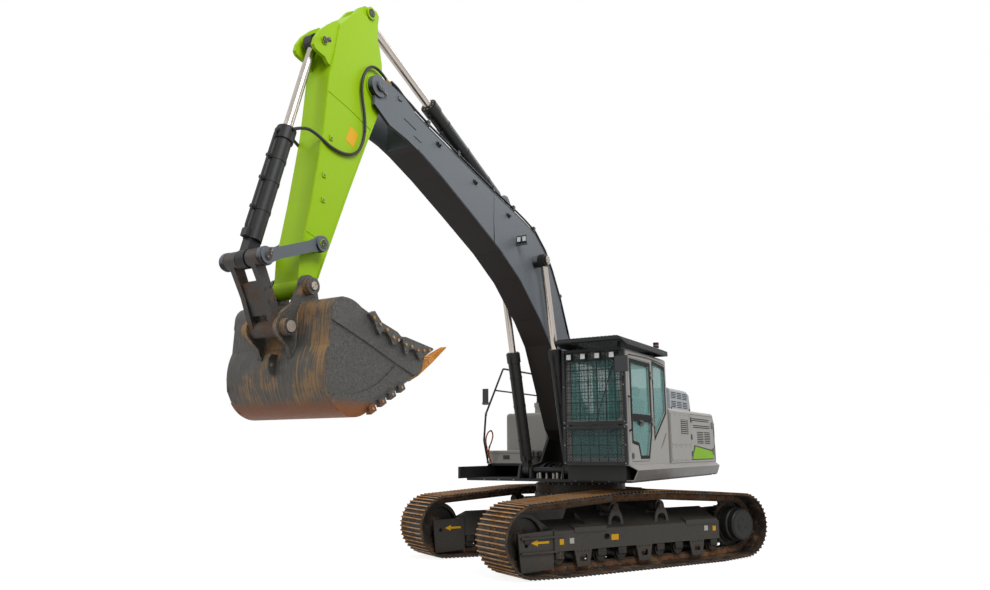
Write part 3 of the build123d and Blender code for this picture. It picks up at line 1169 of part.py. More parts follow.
WEAR_PLATE = 12
CUTTER_OUT = 700
CUTTERS = (
    # bolt-on cutters along the cheek's edge: the upper one, then the one by the lip
    [(6395, 3060), (6312, 3100), (6198, 3000), (5941, 2935), (5860, 2885), (5960, 2800),
     (6014, 2795), (6070, 2880), (6120, 2915), (6195, 2905), (6217, 2865), (6280, 2930),
     (6320, 3010)],
    [(5865, 2895), (5794, 2900), (5306, 2835), (5295, 2820), (5530, 2690), (5561, 2700),
     (5640, 2786), (5736, 2776), (5772, 2714), (5800, 2720), (5845, 2837)],
)
HEEL_OUT = (-426, -597, -768, -939)  # middles of the heel blocks, along the lip
LUG = [(6880, 2640), (7005, 2640), (7040, 2590), (7040, 2490), (7005, 2440), (6880, 2440)]
LUG_HOLE = (6995, 2540)
with BuildPart() as bucket:
    with BuildSketch(side(BUCKET_HALF)) as cheek:
        add(cheek_face())
    extrude(cheek.sketch, amount=2 * BUCKET_HALF)
    with BuildSketch(side(BUCKET_HALF - BUCKET_PLATE)) as inside:
        with BuildLine():
            Line(lip(60, WRAPPER), lip(-971, WRAPPER))
            ThreePointArc(lip(-971, WRAPPER), (6636, 2080), (6842, 2217))
            ThreePointArc((6842, 2217), (6920, 2440), (6868, 2697))
            Line((6868, 2697), (6853, 3035))
            ThreePointArc((6853, 3035), (6815, 3112), (6710, 3145))
            Polyline((6710, 3145), (6640, 3145), (6560, 3200), (5300, 3200), (5300, 2640),
                     lip(60, WRAPPER))
        make_face()
    extrude(inside.sketch, amount=2 * (BUCKET_HALF - BUCKET_PLATE), mode=Mode.SUBTRACT)
    for y_left in (EAR_OUT, -EAR_IN):
        with BuildSketch(side(y_left)) as ear:
            with Locations(BUCKET_PIN, LINK_PIN):
                Circle(118)
            outline([(6600, 3160), (6645, 3330), (6760, 3420), (6885, 3300), (6960, 3130),
                     (7110, 3000), (7150, 2880), (7075, 2755), (6995, 2700), (6950, 2600),
                     (6930, 2560), (6890, 2700), (6878, 3040), (6830, 3130), (6720, 3165)])
        extrude(ear.sketch, amount=EAR_OUT - EAR_IN)
    # Bushings outside the ears, and the pins in them
    for pin in (BUCKET_PIN, LINK_PIN):
        for y_left in (EAR_BUSH, -EAR_OUT):
            boss(pin, 84, y_left, y_left - EAR_BUSH + EAR_OUT)
    boss(BUCKET_PIN, LIFT_PIN, EAR_BUSH + 8, -EAR_BUSH - 8)
    for y_left in (EAR_BUSH + 8, -EAR_IN):
        boss(LINK_PIN, 60, y_left, y_left - EAR_BUSH - 8 + EAR_IN)
    # Wear plates on the cheeks: a band along the mouth and a crescent round the heel
    with BuildSketch() as band:
        add(cheek_face())
        Polygon((6911, 2948), (6318, 2759), (5940, 2624), (5601, 2515), (5300, 2500),
                (5300, 3300), (7000, 3300), align=None, mode=Mode.INTERSECT)
    both_cheeks(band.sketch, BUCKET_HALF - 1, BUCKET_HALF + WEAR_PLATE)
    with BuildSketch() as crescent:
        add(cheek_face())
        Polygon((7000, 2190), (6859, 2205), (6789, 2256), (6594, 2254), (6392, 2291),
                (6182, 2390), (6013, 2513), (5912, 2587), (5700, 2300), (6400, 1900),
                (7000, 1900), align=None, mode=Mode.INTERSECT)
    both_cheeks(crescent.sketch, BUCKET_HALF - 1, BUCKET_HALF + WEAR_PLATE)
    for points in CUTTERS:
        with BuildSketch() as cutter:
            outline(points)
        both_cheeks(cutter.sketch, BUCKET_HALF - 1, CUTTER_OUT)
    for out in HEEL_OUT:
        with BuildSketch() as heel:
            outline([lip(out - 47, -40), lip(out + 47, -40), lip(out + 47, 40),
                     lip(out - 47, 40)])
        both_cheeks(heel.sketch, BUCKET_HALF - 15, CUTTER_OUT)
    # Wear strips under the floor, and the lifting lug on the back
    for strip in range(WEAR_STRIPS):
        y = (BUCKET_HALF - 120) * (2 * strip / (WEAR_STRIPS - 1) - 1)
        plate([lip(-920, 2), lip(-920, -14), lip(-260, -14), lip(-260, 2)], y + 40, y - 40)
    plate(LUG, 20, -20)
    boss(LUG_HOLE, 22, 25, -25, mode=Mode.SUBTRACT)
export(bucket.part, "bucket")

TOOTH_COUNT = 5
with BuildPart() as bucket_teeth:
    for tooth in range(TOOTH_COUNT):
        y = (BUCKET_HALF - BUCKET_PLATE - 65) * (2 * tooth / (TOOTH_COUNT - 1) - 1)
        with BuildSketch(side(y + 60)) as adapter:
            outline([lip(-180, -SEAT_GAP), lip(-180, -34), lip(0, -42), lip(310, -14),
                     lip(325, 44), lip(90, 92), lip(-70, 88), lip(-70, WRAPPER + SEAT_GAP),
                     lip(56, WRAPPER + SEAT_GAP), lip(1, -SEAT_GAP)])
        extrude(adapter.sketch, amount=120)
        # Point that slims towards its edge
        sections = []
        for out, up, width, height in ((305, 17, 100, 76), (660, 31, 80, 12)):
            x, z = lip(out, up)
            with BuildSketch(Plane(origin=(SLEW_X + x, y, z), x_dir=(0, 1, 0),
                                   z_dir=(LIP_RUN[0], 0, LIP_RUN[1]))) as section:
                Rectangle(width, height)
            sections.append(section.sketch)
        loft(sections)
export(bucket_teeth.part, "bucket_teeth")
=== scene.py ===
"""Crawler excavator: materials, details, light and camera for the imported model."""
import math

import bmesh
import bpy
from mathutils import Matrix, Vector


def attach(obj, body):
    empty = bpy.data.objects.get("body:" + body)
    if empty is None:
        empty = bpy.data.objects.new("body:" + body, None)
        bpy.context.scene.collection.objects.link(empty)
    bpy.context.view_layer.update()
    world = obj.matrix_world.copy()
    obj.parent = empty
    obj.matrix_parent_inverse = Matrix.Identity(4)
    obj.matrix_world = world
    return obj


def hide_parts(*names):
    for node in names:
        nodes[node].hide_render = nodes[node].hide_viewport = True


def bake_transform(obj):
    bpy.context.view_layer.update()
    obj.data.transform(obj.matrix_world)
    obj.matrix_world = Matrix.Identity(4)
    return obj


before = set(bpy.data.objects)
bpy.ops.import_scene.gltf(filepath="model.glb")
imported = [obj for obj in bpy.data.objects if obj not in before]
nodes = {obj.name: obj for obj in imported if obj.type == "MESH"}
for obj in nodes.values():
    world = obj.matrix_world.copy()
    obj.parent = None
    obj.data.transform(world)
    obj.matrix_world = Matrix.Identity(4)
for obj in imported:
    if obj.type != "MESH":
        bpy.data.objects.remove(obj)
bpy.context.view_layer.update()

# ------------------------------------------------ tracks
# Two steel crawler tracks: bolted shoes with grousers, rolled and heat treated, carried by a
# chain of forged links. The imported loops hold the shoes; the pins, bolts and scoured edges
# of the grousers are made here, each at its place round the wheels.

scene = bpy.context.scene


def mesh_piece(name, bm, material, body, smooth=False):
    """Turn a bmesh into an object of one material that rides on a body."""
    mesh = bpy.data.meshes.new(name)
    bm.to_mesh(mesh)
    bm.free()
    piece = bpy.data.objects.new(name, mesh)
    scene.collection.objects.link(piece)
    mesh.materials.append(material)
    for face in mesh.polygons:
        face.use_smooth = smooth
    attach(piece, body)
    return piece


MM = 0.001


def rod(bm, start, end, radius, sides=20, bevel=0.0):
    """Round bar between two points in metres, radius in millimetres."""
    run = end - start
    turn = run.to_track_quat("Z", "Y").to_matrix().to_4x4()
    place = Matrix.Translation((start + end) / 2) @ turn
    made = bmesh.ops.create_cone(bm, cap_ends=True, segments=sides, radius1=radius * MM,
                                 radius2=radius * MM, depth=run.length, matrix=place)["verts"]
    if bevel:
        rims = [edge for edge in {edge for vert in made for edge in vert.link_edges}
                if any(len(face.verts) > 4 for face in edge.link_faces)]
        bmesh.ops.bevel(bm, geom=rims, offset=bevel * MM, segments=2, profile=0.6, affect="EDGES")


def dress(node, material):
    """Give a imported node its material."""
    piece = nodes[node]
    piece.data.materials.clear()
    piece.data.materials.append(material)


GAUGE = 2590
SLEW_X = -2.010  # slew axis in the row frame, metres


def at(x, y, z):
    """Point in the row frame, metres, from millimetres measured from the slew axis."""
    return Vector((SLEW_X + x * MM, y * MM, z * MM))


TRACK_TURN = math.radians(-28.3)
TO_TRACK = Matrix.Rotation(TRACK_TURN, 3, "Z")


def under(u, v, z):
    """Point on the undercarriage, from millimetres along and across its own axes."""
    spot = TO_TRACK @ Vector((u, v, 0))
    return at(spot.x, spot.y, z)


def under_way(u, v, z):
    """Direction along the undercarriage's own axes."""
    return (TO_TRACK @ Vector((u, v, z))).normalized()


def block(bm, centre, forward, upward, size, bevel=0.0):
    """Box turned to a forward and an upward direction; size in millimetres along each."""
    forward = forward.normalized()
    across = upward.cross(forward).normalized()
    upward = forward.cross(across).normalized()
    turn = Matrix((forward, across, upward)).transposed().to_4x4()
    scale = Matrix.Diagonal((*(side * MM for side in size), 1))
    made = bmesh.ops.create_cube(bm, size=1, matrix=Matrix.Translation(centre) @ turn @ scale)
    if bevel:
        edges = list({edge for vert in made["verts"] for edge in vert.link_edges})
        bmesh.ops.bevel(bm, geom=edges, offset=bevel * MM, segments=1, affect="EDGES")


def bolt(bm, foot, way, radius, height):
    """Hexagon head standing on a face."""
    rod(bm, foot, foot + way * height * MM, radius, sides=6)


def linear(colour):
    """Linear colour from a six-digit sRGB hex string."""
    out = []
    for place in (0, 2, 4):
        part = int(colour[place:place + 2], 16) / 255
        out.append(part / 12.92 if part <= 0.04045 else ((part + 0.055) / 1.055) ** 2.4)
    return (*out, 1.0)


def add(tree, kind, inputs=None, **settings):
    """Add a shader node, with its settings and its input values or links."""
    node = tree.nodes.new(kind)
    for name, value in settings.items():
        setattr(node, name, value)
    for name, value in (inputs or {}).items():
        if isinstance(value, bpy.types.NodeSocket):
            tree.links.new(value, node.inputs[name])
        else:
            node.inputs[name].default_value = value
    return node


def surface(name, colour, roughness, metallic=0.0, sheen=0.5):
    """Principled material with object coordinates ready for its texture nodes."""
    material = bpy.data.materials.new(name)
    material.use_nodes = True
    tree = material.node_tree
    shader = tree.nodes["Principled BSDF"]
    shader.inputs["Base Color"].default_value = linear(colour)
    shader.inputs["Roughness"].default_value = roughness
    shader.inputs["Metallic"].default_value = metallic
    shader.inputs["Specular IOR Level"].default_value = sheen
    where = add(tree, "ShaderNodeTexCoord").outputs["Object"]
    return material, tree, shader, where


def worn_steel(name, colour, rust, mud, roughness=0.5, rust_at=0.52, mud_at=0.58, metallic=0.6,
               depth=0.004):
    """Bare working steel: rust in blotches of about 310 mm, caked soil of 180 mm, fine mottle.

    The mottle is drawn 17 mm coarse, so that it shows."""
    material, tree, shader, where = surface(name, colour, roughness, metallic)
    blotch = add(tree, "ShaderNodeTexNoise", {"Vector": where, "Scale": 3.2,
                                             "Detail": 9.0, "Roughness": 0.68})
    cake = add(tree, "ShaderNodeTexNoise", {"Vector": where, "Scale": 5.5, "Detail": 10.0,
                                           "Roughness": 0.72})
    fine = add(tree, "ShaderNodeTexNoise", {"Vector": where, "Scale": 60.0,
                                           "Detail": 5.0, "Roughness": 0.65})
    rusty = add(tree, "ShaderNodeMapRange", {"Value": blotch.outputs["Fac"],
                                            "From Min": rust_at - 0.07, "From Max": rust_at + 0.1})
    muddy = add(tree, "ShaderNodeMapRange", {"Value": cake.outputs["Fac"],
                                            "From Min": mud_at - 0.03, "From Max": mud_at + 0.05})
    shade = add(tree, "ShaderNodeMapRange", {"Value": fine.outputs["Fac"], "From Min": 0.3,
                                            "From Max": 0.7, "To Min": 0.62, "To Max": 1.25})
    first = add(tree, "ShaderNodeMix", {"Factor": rusty.outputs["Result"], "A": linear(colour),
                                        "B": linear(rust)}, data_type="RGBA")
    second = add(tree, "ShaderNodeMix", {"Factor": muddy.outputs["Result"],
                                         "A": first.outputs["Result"], "B": linear(mud)},
                 data_type="RGBA")
    toned = add(tree, "ShaderNodeVectorMath", {0: second.outputs["Result"],
                                              "Scale": shade.outputs["Result"]},
                operation="SCALE")
    tree.links.new(toned.outputs["Vector"], shader.inputs["Base Color"])
    cover = add(tree, "ShaderNodeMath", {0: rusty.outputs["Result"], 1: muddy.outputs["Result"]},
                operation="MAXIMUM")
    rough = add(tree, "ShaderNodeMapRange", {"Value": cover.outputs[0], "To Min": roughness,
                                            "To Max": 0.92})
    shine = add(tree, "ShaderNodeMapRange", {"Value": cover.outputs[0], "To Min": metallic,
                                            "To Max": 0.0})
    tree.links.new(rough.outputs["Result"], shader.inputs["Roughness"])
    tree.links.new(shine.outputs["Result"], shader.inputs["Metallic"])
    relief = add(tree, "ShaderNodeMath", {0: cake.outputs["Fac"], 1: fine.outputs["Fac"]},
                 operation="ADD")
    bump = add(tree, "ShaderNodeBump", {"Height": relief.outputs[0], "Strength": 0.55,
                                       "Distance": depth})
    tree.links.new(bump.outputs["Normal"], shader.inputs["Normal"])
    return material


# Rolled shoe steel: dark, rust brown in patches, soil in the hollows
track_steel = worn_steel("track_steel", "201d1a", "4c3521", "6b5239", rust_at=0.52, mud_at=0.55,
                         roughness=0.6, metallic=0.2)

# Forged chain steel: brown with rust and soil
chain_steel = worn_steel("chain_steel", "4b3f36", "7a4f2c", "7d6248", rust_at=0.47, mud_at=0.56)

# Steel scoured to tan by soil
worn_edge = worn_steel("worn_edge", "c09468", "b07838", "bd9660", rust_at=0.5, mud_at=0.58,
                       metallic=0.15, depth=0.001)

for node, finish in (("track_left", track_steel), ("track_right", track_steel)):
    dress(node, finish)

SHOES, RIDGES = 52, 156
SHOE_FACE = 128  # from the rail's face out to the shoes' outer face
IDLER, SPROCKET, WRAP = (2047, 514), (-2060, 531), 344
CARRIERS, CARRIER_Z = (430, -480), 871
LOOP = (
    # the wheels that the chain goes round, in order: along, height, radius
    (-1512, 244, 90), (1512, 244, 90), (*IDLER, WRAP), (CARRIERS[0], CARRIER_Z, 95),
    (CARRIERS[1], CARRIER_Z, 95), (*SPROCKET, WRAP),
)


def chain_line():
    """Line along the shoes' outer faces, anticlockwise from the rear bottom roller."""
    tangents = []
    for (u_a, z_a, radius_a), (u_b, z_b, radius_b) in zip(LOOP, LOOP[1:] + LOOP[:1]):
        start, end = Vector((u_a, z_a)), Vector((u_b, z_b))
        run = (end - start).normalized()
        lean = math.asin((radius_a - radius_b) / (end - start).length)
        outward = run * math.sin(lean) + Vector((run.y, -run.x)) * math.cos(lean)
        tangents.append((start, radius_a + SHOE_FACE, outward, end, radius_b + SHOE_FACE))
    line = []
    for number, (start, radius_a, outward, end, radius_b) in enumerate(tangents):
        line += [start + outward * radius_a, end + outward * radius_b]
        following = tangents[(number + 1) % len(tangents)][2]
        turn = -outward.angle_signed(following)
        steps = max(2, round(abs(turn) / 0.02))
        for step in range(1, steps):
            spoke = Matrix.Rotation(turn * step / steps, 2) @ outward
            line.append(end + spoke * radius_b)
    return line + [line[0]]


def chain_places(count, phase):
    """Places evenly spaced round the chain: each with its run and its outward way."""
    line = chain_line()
    lengths = [(after - before).length for before, after in zip(line, line[1:])]
    places, passed, leg = [], 0.0, 0
    for number in range(count):
        target = (number + phase) * sum(lengths) / count
        while passed + lengths[leg] < target:
            passed += lengths[leg]
            leg += 1
        run = (line[leg + 1] - line[leg]).normalized()
        places.append((line[leg] + run * (target - passed), run, Vector((run.y, -run.x))))
    return places


def on_chain(place, outward, depth, v):
    """Point of a track at a depth outwards from the shoes' faces."""
    spot = place + outward * depth
    return under(spot.x, v, spot.y)


for name, hand in (("left", 1), ("right", -1)):
    middle = hand * GAUGE / 2
    # Chain: a pin and bushing at each joint, and a raised link plate outside each rail
    bm = bmesh.new()
    for place, run, outward in chain_places(SHOES, 0.087):
        for radius, half in ((32, 104), (19, 111)):
            rod(bm, on_chain(place, outward, -72, middle - half),
                on_chain(place, outward, -72, middle + half), radius, sides=12)
    for place, run, outward in chain_places(SHOES, 0.587):
        for v in (middle - 100, middle + 100):
            block(bm, on_chain(place, outward, -66, v), under_way(run.x, 0, run.y),
                  under_way(outward.x, 0, outward.y), (150, 7, 62))
    mesh_piece(f"chain_{name}", bm, chain_steel, "undercarriage")
    # Shoe bolts, four to a shoe, between the grousers
    bm = bmesh.new()
    for phase in (0.42, 0.753):
        for place, run, outward in chain_places(SHOES, phase):
            for v in (middle - 88, middle - 62, middle + 62, middle + 88):
                bolt(bm, on_chain(place, outward, 0, v), under_way(outward.x, 0, outward.y), 11, 9)
    mesh_piece(f"shoe_bolts_{name}", bm, chain_steel, "undercarriage")
    # Scoured edges of the grousers; those that stand on the ground are left out
    bm = bmesh.new()
    for place, run, outward in chain_places(RIDGES, 0.76):
        if place.y > 60:
            block(bm, on_chain(place, outward, 23.4, middle), under_way(run.x, 0, run.y),
                  under_way(outward.x, 0, outward.y), (18, 799, 6))
    mesh_piece(f"grouser_edges_{name}", bm, worn_edge, "undercarriage")

# ------------------------------------------------ track wheels and frames
# Welded box frames on each side of a cast carbody, painted near black, with steel wheels.
# Covers, axle caps and bearing blocks are turned or cast and bolted on; the yellow and white
# plates are printed film.


def bolt_ring(bm, centre, way, ring, count, radius, height):
    """Bolt heads spaced evenly on a circle round an axis."""
    side_way = way.orthogonal().normalized()
    for number in range(count):
        spoke = Matrix.Rotation(2 * math.pi * (number + 0.5) / count, 3, way) @ side_way
        bolt(bm, centre + spoke * ring * MM, way, radius, height)


def flat_on_frame(bm, points, v):
    """Thin plate on a left-hand face of a track frame, its outline as (along, height)."""
    near = [bm.verts.new(under(u, v, z)) for u, z in points]
    base = bm.faces.new(near)
    grown = bmesh.ops.extrude_face_region(bm, geom=[base])["geom"]
    moved = [item for item in grown if isinstance(item, bmesh.types.BMVert)]
    bmesh.ops.translate(bm, verts=moved, vec=under_way(0, 1, 0) * 3 * MM)
    bmesh.ops.recalc_face_normals(bm, faces=list({f for v in near + moved for f in v.link_faces}))


def paint(name, colour, dusty, roughness=0.38, dust=0.25, low_dust=0.0, sheen=0.3,
          grime_and_shade=None):
    """Painted steel: road dust in patches of about 590 mm, with specks and orange peel.

    The specks are drawn 29 mm coarse and the orange peel 4 mm, so that they show. Low dust
    thickens towards the ground, and the colour given for faces turned down darkens them:
    painted shade under them, with the soil gathered there on some finishes."""
    material, tree, shader, where = surface(name, colour, roughness, sheen=sheen)
    drift = add(tree, "ShaderNodeTexNoise", {"Vector": where, "Scale": 1.7, "Detail": 6.0,
                                            "Roughness": 0.62})
    speck = add(tree, "ShaderNodeTexNoise", {"Vector": where, "Scale": 34.0, "Detail": 4.0,
                                            "Roughness": 0.7})
    patch = add(tree, "ShaderNodeMapRange", {"Value": drift.outputs["Fac"], "From Min": 0.42,
                                            "From Max": 0.68, "To Max": dust})
    grains = add(tree, "ShaderNodeMapRange", {"Value": speck.outputs["Fac"], "From Min": 0.35,
                                             "From Max": 0.75, "To Min": 0.25, "To Max": 1.0})
    amount = add(tree, "ShaderNodeMath", {0: patch.outputs["Result"], 1: grains.outputs["Result"]},
                 operation="MULTIPLY")
    if low_dust:
        height = add(tree, "ShaderNodeSeparateXYZ", {"Vector": where})
        low = add(tree, "ShaderNodeMapRange", {"Value": height.outputs["Z"], "From Min": 1.9,
                                              "From Max": 0.2, "To Max": low_dust})
        low = add(tree, "ShaderNodeMath", {0: low.outputs["Result"], 1: grains.outputs["Result"]},
                  operation="MULTIPLY")
        amount = add(tree, "ShaderNodeMath", {0: amount.outputs[0], 1: low.outputs[0]},
                     operation="MAXIMUM")
    mix = add(tree, "ShaderNodeMix", {"Factor": amount.outputs[0], "A": linear(colour),
                                      "B": linear(dusty)}, data_type="RGBA")
    if grime_and_shade:
        facing = add(tree, "ShaderNodeSeparateXYZ",
                     {"Vector": add(tree, "ShaderNodeTexCoord").outputs["Normal"]})
        down = add(tree, "ShaderNodeMapRange", {"Value": facing.outputs["Z"], "From Min": -0.15,
                                               "From Max": -0.45, "To Max": 0.92})
        mix = add(tree, "ShaderNodeMix", {"Factor": down.outputs["Result"],
                                          "A": mix.outputs["Result"], "B": linear(grime_and_shade)},
                  data_type="RGBA")
    tree.links.new(mix.outputs["Result"], shader.inputs["Base Color"])
    rough = add(tree, "ShaderNodeMapRange", {"Value": amount.outputs[0], "To Min": roughness,
                                            "To Max": 0.85})
    tree.links.new(rough.outputs["Result"], shader.inputs["Roughness"])
    peel = add(tree, "ShaderNodeTexNoise", {"Vector": where, "Scale": 260.0, "Detail": 2.0})
    bump = add(tree, "ShaderNodeBump", {"Height": peel.outputs["Fac"], "Strength": 0.02,
                                       "Distance": 0.002})
    tree.links.new(bump.outputs["Normal"], shader.inputs["Normal"])
    return material


# Enamel on castings and tube: black, dulled by dust
black_paint = paint("black_paint", "1c1d1e", "4d453b", roughness=0.45, dust=0.3, sheen=0.25)

# Enamel on the frames: near black, with road dust that thickens towards the ground
frame_paint = paint("frame_paint", "2f2f2e", "6b5d4c", roughness=0.45, dust=0.5, low_dust=0.3)

# Cast wheel steel: dark grey-brown and dull
wheel_steel = worn_steel("wheel_steel", "2b2926", "4a3829", "5d4c3c", rust_at=0.55, mud_at=0.6)

# Machined steel: light warm grey, faces nearly clean
cap_steel = worn_steel("cap_steel", "b0aaa2", "8d7a64", "8a7a66", rust_at=0.62, mud_at=0.66,
                       metallic=0.5, depth=0.001)

# Printed vinyl: yellow, dusty at the edges
yellow_film = paint("yellow_film", "e0a80c", "9c7a30", roughness=0.5, dust=0.25)

# Printed vinyl: white under road dust
white_film = paint("white_film", "c2c0ba", "7c6f60", roughness=0.5, dust=0.45)

for node, finish in (("carbody", frame_paint), ("track_frame_left", frame_paint),
                     ("track_frame_right", frame_paint), ("final_drives", black_paint),
                     ("slew_ring", wheel_steel), ("idlers", wheel_steel),
                     ("sprockets", wheel_steel), ("track_rollers", wheel_steel),
                     ("carrier_rollers", wheel_steel)):
    dress(node, finish)

FRAME_FACE, YOKE_FACE = 208, 188  # outer faces, from the track's centre line
ROLLERS, ROLLER_PITCH = 9, 378
bm = bmesh.new()
dark = bmesh.new()
for hand in (1, -1):
    out = under_way(0, hand, 0)
    middle = hand * GAUGE / 2
    # Covers and bolts of the final drives and of the sprockets
    face = under(SPROCKET[0], middle + hand * 322, SPROCKET[1])
    rod(bm, face, face + out * 9 * MM, 120, sides=32, bevel=3)
    rod(bm, face, face + out * 5 * MM, 214, sides=40, bevel=2)
    bolt_ring(bm, face, out, 228, 16, 11, 9)
    bolt_ring(bm, face, out, 80, 3, 15, 16)
    bolt_ring(bm, under(SPROCKET[0], middle + hand * 66, SPROCKET[1]), out, 284, 24, 13, 12)
    # Caps of the idler axles
    cap = under(IDLER[0], middle + hand * YOKE_FACE, IDLER[1])
    rod(dark, cap, cap + out * 16 * MM, 62, sides=24, bevel=4)
    bolt_ring(dark, cap, out, 44, 4, 8, 22)
    # Bearing blocks of the bottom rollers, bolted up under the flanges
    for number in range(ROLLERS):
        u = ROLLER_PITCH * (number - ROLLERS // 2)
        for v in (169, -203):
            low, high = middle + v, middle + v + 34
            block(dark, under(u, (low + high) / 2, 282), under_way(1, 0, 0), Vector((0, 0, 1)),
                  (150, 34, 104), bevel=6)
        for step in (-56, 56):
            bolt(dark, under(u + step, middle + hand * 186, 229), Vector((0, 0, -1)), 13, 14)
    for u in CARRIERS:
        end = under(u, middle + hand * 130, CARRIER_Z)
        rod(dark, end, end + out * 10 * MM, 52, sides=20, bevel=3)
        bolt_ring(dark, end, out, 34, 3, 6, 15)
    # Bolts of the three chain guards
    for u in (1107, -40, -1130):
        for step in (-96, -32, 32, 96):
            bolt(dark, under(u + step, middle + hand * FRAME_FACE, 318), out, 11, 9)
mesh_piece("drive_covers", bm, black_paint, "undercarriage")
mesh_piece("undercarriage_fastenings", dark, wheel_steel, "undercarriage")

# Bolts round the slewing ring: its lower seat, then its top
bm = bmesh.new()
bolt_ring(bm, at(0, 0, 1030), Vector((0, 0, 1)), 758, 40, 13, 14)
mesh_piece("ring_bolts", bm, cap_steel, "undercarriage")
bm = bmesh.new()
bolt_ring(bm, at(0, 0, 1190), Vector((0, 0, 1)), 715, 40, 13, 16)
mesh_piece("deck_ring_bolts", bm, cap_steel, "undercarriage")

# Yellow direction arrow on the yoke and small blank plates on the frame
bm = bmesh.new()
ARROW = [(1690, 455), (1690, 485), (1880, 485), (1880, 515), (1990, 470), (1880, 425), (1880, 455)]
flat_on_frame(bm, ARROW, GAUGE / 2 + YOKE_FACE)
flat_on_frame(bm, ARROW, YOKE_FACE - GAUGE / 2)
flat_on_frame(bm, [(1450, 425), (1450, 500), (1520, 500), (1520, 425)],
              GAUGE / 2 + FRAME_FACE)
flat_on_frame(bm, [(-1555, 455), (-1555, 530), (-1485, 530), (-1485, 455)],
              GAUGE / 2 + FRAME_FACE)
flat_on_frame(bm, [(455, 435), (455, 515), (590, 515), (590, 435)], GAUGE / 2 + FRAME_FACE)
mesh_piece("yellow_plates", bm, yellow_film, "undercarriage")
bm = bmesh.new()
flat_on_frame(bm, [(1270, 430), (1270, 505), (1345, 505), (1345, 430)], GAUGE / 2 + FRAME_FACE)
flat_on_frame(bm, [(-1378, 468), (-1378, 543), (-1302, 543), (-1302, 468)],
              GAUGE / 2 + FRAME_FACE)
mesh_piece("white_plates", bm, white_film, "undercarriage")

# ------------------------------------------------ deck
# The revolving deck is welded plate with two tall girders for the boom, painted black, with
# a grey sill along each side. Rubber hoses with crimped steel ends cross its front edge.


def slab(bm, x, y, z, bevel=0.0):
    """Box between limits in millimetres from the slew axis, its edges bevelled."""
    low, high = at(x[0], y[0], z[0]), at(x[1], y[1], z[1])
    made = bmesh.ops.create_cube(bm, size=1.0)["verts"]
    for vert in made:
        vert.co = Vector([low[i] + (vert.co[i] + 0.5) * (high[i] - low[i]) for i in range(3)])
    if bevel:
        edges = list({edge for vert in made for edge in vert.link_edges})
        bmesh.ops.bevel(bm, geom=edges, offset=bevel * MM, segments=2, profile=0.6,
                        affect="EDGES", clamp_overlap=True)


def route(points):
    """Smooth line that a hose follows, from the points that shape it."""
    curve = bpy.data.curves.new("route", "CURVE")
    curve.dimensions = "3D"
    curve.resolution_u = 8
    spline = curve.splines.new("NURBS")
    spline.points.add(len(points) - 1)
    for point, place in zip(spline.points, points):
        point.co = (*place, 1)
    spline.order_u = 3
    spline.use_endpoint_u = True
    carrier = bpy.data.objects.new("route", curve)
    mesh = bpy.data.meshes.new_from_object(carrier)
    line = [vert.co.copy() for vert in mesh.vertices]
    bpy.data.objects.remove(carrier)
    bpy.data.curves.remove(curve)
    bpy.data.meshes.remove(mesh)
    return line


def tube(bm, line, radius, sides=10):
    """Round tube along a line of points in metres, radius in millimetres."""
    rings = []
    normal = None
    for number, place in enumerate(line):
        ahead = (line[min(number + 1, len(line) - 1)] - line[max(number - 1, 0)]).normalized()
        if normal is None:
            normal = ahead.orthogonal()
        normal = (normal - ahead * normal.dot(ahead)).normalized()
        cross = ahead.cross(normal)
        rings.append([bm.verts.new(place + (normal * math.cos(turn) + cross * math.sin(turn))
                                   * radius * MM)
                      for turn in (2 * math.pi * side_no / sides for side_no in range(sides))])
    for first, second in zip(rings, rings[1:]):
        for number in range(sides):
            after = (number + 1) % sides
            bm.faces.new((first[number], first[after], second[after], second[number]))
    bm.faces.new(list(reversed(rings[0])))
    bm.faces.new(rings[-1])


def fitting(bm, place, way, radius):
    """Crimped hose end: a long ferrule with a hexagon nut."""
    way = way.normalized()
    rod(bm, place, place + way * 70 * MM, radius * 1.35, sides=14)
    rod(bm, place + way * 70 * MM, place + way * 95 * MM, radius * 1.6, sides=6)


# Enamel on folded plate: warm grey, with painted shade on the faces turned down
sill_paint = paint("sill_paint", "85817f", "6d645a", roughness=0.36, dust=0.3, grime_and_shade="2a2622")

# Moulded hose rubber: black and dull, uneven over about 11 mm
rubber, tree, shader, where = surface("rubber", "121212", 0.62)
uneven = add(tree, "ShaderNodeTexNoise", {"Vector": where, "Scale": 90.0, "Detail": 3.0})
bump = add(tree, "ShaderNodeBump", {"Height": uneven.outputs["Fac"], "Strength": 0.25,
                                   "Distance": 0.002})
tree.links.new(bump.outputs["Normal"], shader.inputs["Normal"])

# Zinc plated bolts: light grey, a little rust
bolt_steel = worn_steel("bolt_steel", "8a8782", "6b5138", "6f6252", rust_at=0.6, mud_at=0.66,
                        metallic=0.5, depth=0.001)

# Brass hose nuts: yellow-brown and tarnished
brass_metal = worn_steel("brass_metal", "b08a3e", "7f6536", "8a744c", rust_at=0.6, mud_at=0.66,
                         roughness=0.35, metallic=0.9, depth=0.0005)

for node, finish in (("deck", black_paint), ("engine", black_paint), ("sill_left", sill_paint),
                     ("sill_right", sill_paint)):
    dress(node, finish)

# Bolts of the girders, of the front edge and of the caps on the lift cylinders' lower pins
bm = bmesh.new()
GIRDER_FACE = 302
for hand in (-1, 1):
    for x, z in ((-1200, 1420), (-900, 1440), (-600, 1470), (560, 1420), (700, 1400), (840, 1390)):
        bolt(bm, at(x, hand * GIRDER_FACE, z), Vector((0, hand, 0)), 13, 10)
for y in (-1200, -900, -600, 600, 900, 1200):
    bolt(bm, at(1331, y * 0.9, 1275), Vector((1, 0, 0)), 12, 8)
for hand in (1, -1):
    bolt_ring(bm, at(1165, hand * 500, 1425), Vector((0, hand, 0)), 30, 3, 7, 8)
mesh_piece("deck_bolts", bm, bolt_steel, "house")

